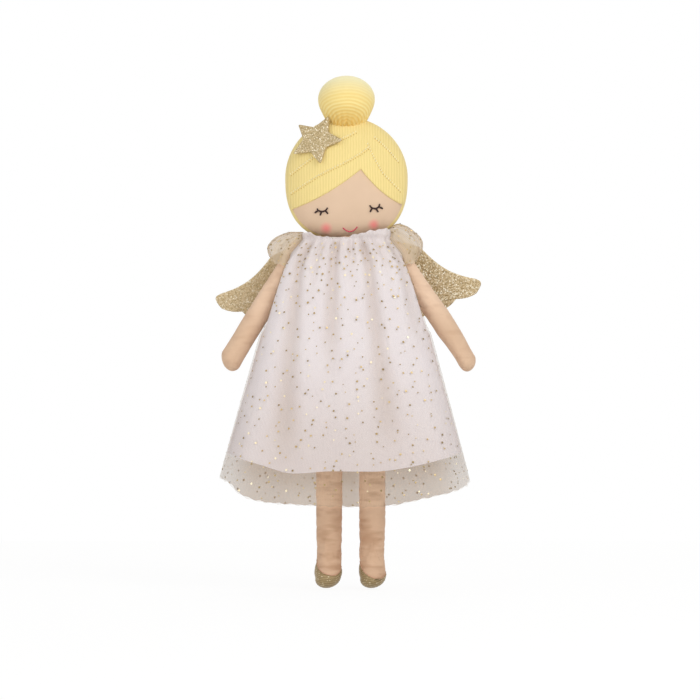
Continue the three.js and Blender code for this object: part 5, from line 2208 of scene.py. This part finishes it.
    def lining_lift(self, z: float) -> float:
        """How far the lining stands out, more towards its hem."""
        return 0.4 + 2.2 * smooth(0.0, 130.0, -z)

    def net_lift(self, z: float) -> float:
        """How far the net stands off the lining, more towards the hem."""
        return 1.6 + 2.0 * smooth(-59.0, 142.0, -z)


@dataclass
class Dress:
    """The lining, the dotted net over it, and the elastic in the neckline."""

    form: DressForm
    wardrobe: Wardrobe
    rows: int = 84
    crowding: float = 1.35
    # Width of the flat cloth, in metres, for the net's wales.
    cloth_width: float = 0.62
    dot_pitch: float = 8.5
    # Share of the pitch at the gathers, and from one row to the next.
    dot_gathered: float = 0.52
    dot_row: float = 0.86
    dot_radius: float = 0.95
    dot_dome: float = 0.16
    # Distance below the gathers of the first dots, and where they stop.
    dot_run: Pair = (5.0, 254.0)
    # Bare net left above the hem and below the neckline.
    dot_rooms: Pair = (1.5, 2.0)
    elastic: float = 1.1

    def build(self) -> list[Object]:
        """Make the dress, and hide the CAD nodes that its cloth stands for.

        Returns:
            The lining, the net, its dots and the elastic.
        """
        form, finish = self.form, self.wardrobe
        lining = self._layer("dress_lining_cloth", form.lining_hem, form.lining_lift, finish.lining, 0.8)
        net = self._layer("dress_net", form.net_hem, form.net_lift, finish.net, 0.0)
        places = [(i % (form.columns + 1), v.co.z / MM) for i, v in enumerate(net.data.vertices)]
        # The net's cover, with painted shade under the lining's hem, between the legs and in the valleys.
        set_tone(net, "net_cover", [form.cover_and_shade(column, z) for column, z in places])
        dots = self._dots()
        layers = ((lining, "dress_lining", "lining_cloth"), (net, "dress_tulle", "dotted_net"))
        for piece, node, slot in layers:
            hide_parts(node)
        for piece in (lining, net, dots):
            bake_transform(piece)
        return [lining, net, dots, self._cord()]

    def _layer(
        self,
        name: str,
        hem: Callable[[float], float],
        lift: Callable[[float], float],
        finish: Material,
        drop: float,
    ) -> Object:
        """Hang one layer from the neckline to its hem.

        Args:
            name: The piece's name.
            hem: Height of the hem, by column.
            lift: Millimetres outside the gathered surface, by height.
            finish: Its finish.
            drop: How far its top edge stays below the ruffle's.

        Returns:
            The layer, open at the back seam.
        """
        rows: Rows = []
        places: list[Pair] = []
        for r in range(self.rows + 1):
            share = (r / self.rows) ** self.crowding
            row = []
            for c in range(self.form.columns + 1):
                top = self.form.neckline(c) - drop
                z = mix(top, hem(c), share)
                row.append(self.form.point(c, z, lift(z)))
                places.append((self.cloth_width * c / self.form.columns, (top - z) * MM))
            rows.append(row)
        piece = make_piece(name, loft(rows, wrap=False), finish)
        set_uv(piece, places)
        return piece

    def _dots(self) -> Object:
        """Press foil dots on the net, in staggered rows that wander.

        Returns:
            The dots.
        """
        chance = random.Random(41)
        parts: list[Mesh] = []
        reflection_shares: list[float] = []
        down, last = self.dot_run
        row = 0
        while down < last:
            level = self.form.gather_z - down
            width = through(self.form.widths, level)
            pitch = self.dot_pitch * mix(self.dot_gathered, 1.0, smooth(0.0, 80.0, down))
            count = max(int(3.2 * width / pitch), 8)
            for k in range(count):
                column = self.form.columns * (k + 0.5 * (row % 2) + chance.uniform(-0.46, 0.46)) / count
                column %= self.form.columns
                z = level + pitch * chance.uniform(-0.45, 0.45)
                low, high = self.form.net_hem(column), self.form.neckline(column)
                if z < low + self.dot_rooms[0] or z > high - self.dot_rooms[1]:
                    continue
                parts.append(self._dot(column, z, self.dot_radius * chance.uniform(0.6, 1.2)))
                # Each dot's share of painted reflection.
                reflection_shares += [chance.random()] * len(parts[-1][0])
            down += self.dot_row * pitch
            row += 1
        dots = make_piece("dress_foil_dots", joined(parts), self.wardrobe.foil)
        set_tone(dots, "tone", reflection_shares)
        return dots

    def _dot(self, column: float, z: float, half: float) -> Mesh:
        """Lay one dot on the net.

        Args:
            column: Which column.
            z: Height.
            half: Half its size.

        Returns:
            Its mesh.
        """
        lift = self.form.net_lift(z) + 0.18
        centre = self.form.point(column, z, lift)
        across = (self.form.point(column + 0.5, z, lift) - centre).normalized()
        along = (self.form.point(column, z - 0.6, lift) - centre).normalized()
        crown = centre + along.cross(across).normalized() * self.dot_dome
        return foil_dot(centre, across * half, along * half, crown)

    def _cord(self) -> Object:
        """Thread the elastic round the inside of the gathers.

        Returns:
            The elastic.
        """
        level = self.form.gather_z + self.elastic
        columns = range(0, self.form.columns, 3)
        path = [self.form.point(c, level, -0.4 - self.elastic) for c in columns]
        mesh = tube(path, lambda t: self.elastic, 8, loop=True)
        cord = make_piece("hat_elastic", mesh, self.wardrobe.elastic)
        return declare(cord, "torso", "elastic", "neck_elastic")


@dataclass
class Sleeves:
    """See-through caps, gathered into the neckline and open round the upper arm."""

    form: DressForm
    wardrobe: Wardrobe
    seam_across: float = 0.95
    seam_z: Pair = (86.0, 56.0)
    # How far the cap's edge is tucked under the dress's net.
    tuck: float = 0.6
    crest_right: Pairs = (
        (40.5, 87.0),
        (51.0, 87.5),
        (60.0, 85.3),
        (66.5, 82.0),
        (71.0, 78.0),
        (73.6, 73.0),
        (73.4, 68.5),
        (71.5, 65.0),
    )
    crest_left: Pairs = (
        (40.5, 91.5),
        (48.0, 95.0),
        (56.0, 93.0),
        (63.5, 87.8),
        (69.3, 82.3),
        (71.4, 77.0),
        (71.0, 72.0),
        (68.5, 67.5),
    )
    droop: float = 4.5
    still: Pair = (50.0, 80.0)
    carried: Pair = (68.0, 62.0)
    # Flat cloth round each radian of the cap, and from the neckline to the mouth.
    cloth: Pair = (24.0, 36.0)
    columns: int = 128
    rows: int = 36
    dots: int = 80
    dot_radius: float = 0.8
    dot_lift: float = 0.2
    dot_dome: float = 0.15

    def __post_init__(self) -> None:
        """Find the dress columns that the sleeves are sewn to."""
        self.seams: dict[tuple[Side, bool], int] = {}
        for side in Side:
            for front in (True, False):
                want = side.value * self.seam_across
                columns = [c for c in range(self.form.columns) if (self.form.across(c)[1] < 0) is front]
                self.seams[side, front] = min(columns, key=lambda c: abs(self.form.across(c)[0] - want))

    def _seam(self, side: Side, front: bool, share: float) -> Vector:
        """A point of the seam on the dress, tucked just under its net."""
        z = mix(*self.seam_z, share)
        return self.form.point(self.seams[side, front], z, self.form.net_lift(z) - self.tuck)

    def _crimp(self, side: Side, turn: float, share: float) -> float:
        """The gathers that run from the neckline to the mouth, from -1 to 1."""
        return math.sin(17 * turn + 1.5 * math.sin(5 * turn) + 0.9 * math.sin(4 * share) + side.value)

    def _crowded(self, side: Side, turn: float, share: float) -> float:
        """Tell how closely the net lies on itself: in its gathers and near the dress, but not on the seam.

        Args:
            side: Which sleeve.
            turn: From 0 at the front seam to pi at the back seam.
            share: From the neckline to the mouth.

        Returns:
            From 0, single, to 1, double.
        """
        beside = smooth(0.0, 0.25, math.sin(turn)) * (1 - smooth(0.25, 0.8, math.sin(turn)))
        gathers = 0.5 - 0.5 * self._crimp(side, turn, share)
        return min(1.0, 0.4 * beside + mix(0.4, 0.25, share) * gathers + 0.25 * smooth(0.85, 1.0, share))

    def _point(self, side: Side, turn: float, share: float, lift: float = 0.0) -> Vector:
        """Find a point of the cap.

        Args:
            side: Which sleeve.
            turn: From 0 at the front seam over the shoulder to pi at the back seam.
            share: From the neckline to the mouth.
            lift: Millimetres outside the cloth.

        Returns:
            The point.
        """
        front, back = self._seam(side, True, share), self._seam(side, False, share)
        crest = self.crest_left if side is Side.LEFT else self.crest_right
        place = share * (len(crest) - 1)
        x, z = (through(enumerate(values), place) for values in zip(*crest))
        middle = (front + back) / 2
        over = Vector((side.value * x, 0, z)) - middle
        arc = (front - back) / 2 * math.cos(turn) + over * math.sin(turn)
        free = smooth(0.0, 0.5, math.sin(turn))
        crimp = self._crimp(side, turn, share)
        out = 1 + (free * crimp * mix(0.9, 0.6, share) + lift) / arc.length
        sag = self.droop * share**3 * abs(math.sin(2 * turn)) - 0.6 * crimp * free * share**6
        return middle + arc * out - Vector((0, 0, sag))

    def build(self) -> list[Object]:
        """Make both sleeves, and hide the CAD nodes that they stand for.

        Returns:
            Each sleeve and its dots.
        """
        pieces = []
        for side in Side:
            sleeve, dots = self._cap(side), self._sprinkled(side)
            for piece in (sleeve, dots):
                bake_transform(piece)
            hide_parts(f"sleeve_{side.word}")
            pieces += [sleeve, dots]
        return pieces

    def _cap(self, side: Side) -> Object:
        """Cut one sleeve along the dress.

        Args:
            side: Which sleeve.

        Returns:
            The cap.
        """
        shares = [r / self.rows for r in range(self.rows + 1)]
        angles = [math.pi * c / self.columns for c in range(self.columns + 1)]
        places = [(turn, share) for share in shares for turn in angles]
        rows = [[self._point(side, turn, share) for turn in angles] for share in shares]
        sleeve = make_piece(f"sleeve_net_{side.word}", loft(rows, wrap=False), self.wardrobe.sleeve_net)
        set_uv(sleeve, [(turn * self.cloth[0] * MM, share * self.cloth[1] * MM) for turn, share in places])
        set_tone(sleeve, "net_cover", [self._crowded(side, turn, share) for turn, share in places])
        return sleeve

    def _sprinkled(self, side: Side) -> Object:
        """Sprinkle foil dots over one sleeve.

        Args:
            side: Which sleeve.

        Returns:
            The dots.
        """
        chance = random.Random(7 + side.value)
        parts: list[Mesh] = []
        reflection_shares: list[float] = []
        for _ in range(self.dots):
            parts.append(self._dot(side, math.pi * chance.uniform(0.04, 0.96), chance.uniform(0.06, 0.96)))
            # Each dot's share of painted reflection, held below the palest.
            reflection_shares += [0.8 * chance.random()] * len(parts[-1][0])
        dots = make_piece(f"sleeve_foil_dots_{side.word}", joined(parts), self.wardrobe.foil)
        set_tone(dots, "tone", reflection_shares)
        return dots

    def _dot(self, side: Side, turn: float, share: float) -> Mesh:
        """Lay one dot on a sleeve.

        Args:
            side: Which sleeve.
            turn: From 0 at the front seam to pi at the back seam.
            share: From the neckline to the mouth.

        Returns:
            Its mesh.
        """
        centre = self._point(side, turn, share, self.dot_lift)
        across = (self._point(side, turn + 0.03, share, self.dot_lift) - centre).normalized()
        along = (self._point(side, turn, share + 0.02, self.dot_lift) - centre).normalized()
        crown = self._point(side, turn, share, self.dot_lift + self.dot_dome)
        return foil_dot(centre, across * self.dot_radius, along * self.dot_radius, crown)


@dataclass
class Wings:
    """Two glitter felt wings and the middle that is sewn to the back of the dress."""

    wardrobe: Wardrobe
    felt: float = 2.4
    span: float = 125.5
    top: float = 69.0
    tip: float = 31.0
    low: float = -2.0
    middle_half: float = 10.0
    middle_low: float = 18.0
    middle_top: float = 60.0
    middle_sides: int = 48
    middle_power: float = 0.2
    axis: float = 11.5
    skew: float = -3.4
    lean: float = 10.595
    set_y: float = 33.59
    curl: float = 3.0
    columns: int = 90
    rows: int = 26

    def _seat(self, mirror: int = 1) -> Matrix:
        """Find the turn and place of the wing set.

        Args:
            mirror: -1 for the right wing.

        Returns:
            The matrix, in millimetres.
        """
        lean, skew = math.radians(self.lean), math.radians(self.skew)
        turned = Matrix.Rotation(lean, 4, "X") @ Matrix.Rotation(skew, 4, "Y")
        placed = Matrix.Translation((0, self.set_y, self.middle_top)) @ turned
        return placed @ Matrix.Diagonal((mirror, 1, 1, 1)) @ Matrix.Translation((0, 0, -self.middle_top))

    def _upper(self, span: float, rise: float) -> Vector:
        """X and Z by shares of the span and of the height from the tip to the top."""
        return Vector((self.span * span, self.tip + (self.top - self.tip) * rise))

    def _lower(self, span: float, rise: float) -> Vector:
        """X and Z by shares of the span and of the height above the lowest point."""
        return Vector((self.span * span, self.low + (self.top - self.tip) * rise))

    @staticmethod
    def _onward(last: Vector, *pulls: Vector) -> list[Vector]:
        """Points of a smooth curve on from the last point of a line."""
        return [pulled([last, *pulls], k / 24) for k in range(1, 25)]

    def _edges(self) -> tuple[list[Vector], list[Vector]]:
        """Draw the wing's edges from the fold to the tip.

        Returns:
            The upper and the lower edge, as X and Z.
        """
        up, low = self._upper, self._lower
        over = [Vector((self.axis, self.middle_top))]
        over += self._onward(over[-1], up(0.2, 1.11), up(0.42, 1.35), up(0.57, 1))
        over += self._onward(over[-1], up(0.69, 0.52), up(0.78, 0.31), up(0.945, 0.17))
        end = self._onward(over[-1], up(1.015, 0.1), up(1.025, 0.04), up(0.965, -0.22))
        furthest = max(range(len(end)), key=lambda k: end[k].x)
        over += end[: furthest + 1]
        under = end[furthest:]
        under += self._onward(under[-1], up(0.9, -0.35), up(0.81, -0.33))
        under += self._onward(under[-1], up(0.73, -0.66), up(0.62, -0.58))
        under += self._onward(under[-1], low(0.5, -0.05), low(0.36, 0.12))
        under += self._onward(under[-1], low(0.2, 0), Vector((self.axis, self.middle_low)))
        return over, under[::-1]

    @staticmethod
    def _read(line: list[Vector], x: float) -> float:
        """Find the height of an edge.

        Args:
            line: The edge.
            x: A place across the wing.

        Returns:
            The height there.
        """
        for a, b in zip(line, line[1:]):
            if a.x <= x <= b.x and b.x > a.x:
                return mix(a.y, b.y, (x - a.x) / (b.x - a.x))
        return line[-1].y if x >= line[-1].x else line[0].y

    def _wing(self, side: Side) -> Object:
        """Cut one wing, rounded along its edge and curling back towards its tip.

        Args:
            side: Which wing.

        Returns:
            The wing.
        """
        over, under = self._edges()
        seat = self._seat(side.value)
        furthest = over[-1].x
        half = self.felt / 2
        shares = [math.sin(0.5 * math.pi * k / self.columns) for k in range(self.columns + 1)]
        rows: Rows = []
        for x in (mix(self.axis, furthest, share) for share in shares):
            high, low = self._read(over, x), self._read(under, x)
            out = (x - self.axis) / (furthest - self.axis)
            bend = self.curl * out * out + 0.8 * math.sin(5 * out)
            slim = math.sqrt(max(1 - max(0.0, (x - furthest + half) / half) ** 2, 0.02))
            front, back = [], []
            for r in range(self.rows + 1):
                z = mix(low, high, 0.5 - 0.5 * math.cos(math.pi * r / self.rows))
                near = min(z - low, high - z, half) / half
                thick = half * slim * math.sqrt(max(1 - (1 - near) ** 2, 0.0))
                front.append(seat @ Vector((x, bend - thick, z)))
                back.append(seat @ Vector((x, bend + thick, z)))
            rows.append(front + back[-2:0:-1])
        fold, tip = (sum(row, Vector()) / len(row) for row in (rows[0], rows[-1]))
        mesh = loft(rows, first=fold, last=tip)
        wing = make_piece(f"glitter_wing_{side.word}", mesh, self.wardrobe.glitter)
        declare(wing, f"wing_{side.word}", "glitter_felt", f"wing_{side.word}")
        return wing

    def _middle(self) -> Object:
        """Cut the sewn middle, with a rounded edge.

        Returns:
            The middle.
        """
        seat = self._seat()
        half = self.felt / 2
        shells = [(1.4, half), (0.7, 0.86 * half), (0.0, 0.3 * half)]
        shells += [(inset, -y) for inset, y in reversed(shells)]
        centre = Vector((0, 0, (self.middle_low + self.middle_top) / 2))
        tall = (self.middle_top - self.middle_low) / 2
        rows: Rows = []
        for inset, y in shells:
            row = []
            for k in range(self.middle_sides):
                turn = TURN * (k + 0.5) / self.middle_sides
                x = squared(math.cos(turn), self.middle_power) * (self.middle_half - inset)
                z = squared(math.sin(turn), self.middle_power) * (tall - inset)
                row.append(seat @ (centre + Vector((x, -y, z))))
            rows.append(row)
        front, back = (seat @ (centre + Vector((0, y, 0))) for y in (-half, half))
        middle = make_piece("wing_seam", loft(rows, first=front, last=back), self.wardrobe.glitter)
        declare(middle, "torso", "glitter_felt", "wing_middle")
        return middle

    def build(self) -> list[Object]:
        """The middle and both wings."""
        return [self._middle(), *(self._wing(side) for side in Side)]


def face_outwards(piece: Object) -> None:
    """Turn a piece's faces to point out of it.

    Args:
        piece: A mesh object.
    """
    shape = bmesh.new()
    shape.from_mesh(piece.data)
    bmesh.ops.recalc_face_normals(shape, faces=shape.faces)
    shape.to_mesh(piece.data)
    shape.free()


def corners(box: tuple[Vector, Vector]) -> list[list[float]]:
    """A box as plain lists of numbers."""
    return [list(corner) for corner in box]


def main() -> None:
    """Load the frame and build every piece round it."""
    logging.basicConfig(level=logging.INFO, format="%(name)s: %(message)s")
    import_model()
    cad_box = corners(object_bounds())
    Studio().build()
    wardrobe = Wardrobe()
    form = HeadForm()
    arms = Arms(wardrobe)
    dress = DressForm(arms)
    makers = [
        Head(form, wardrobe),
        Bun(wardrobe),
        Star(form, wardrobe),
        StitchedFace(form, wardrobe),
        Body(wardrobe),
        arms,
        Legs(wardrobe),
        Dress(dress, wardrobe),
        Sleeves(dress, wardrobe),
        Wings(wardrobe),
    ]
    for maker in makers:
        for piece in maker.build():
            face_outwards(piece)
            LOG.info("%s: %d faces", piece.name, len(piece.data.polygons))
    {"cad": cad_box, "visual": corners(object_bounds())}


if __name__ == "__main__":
    main()
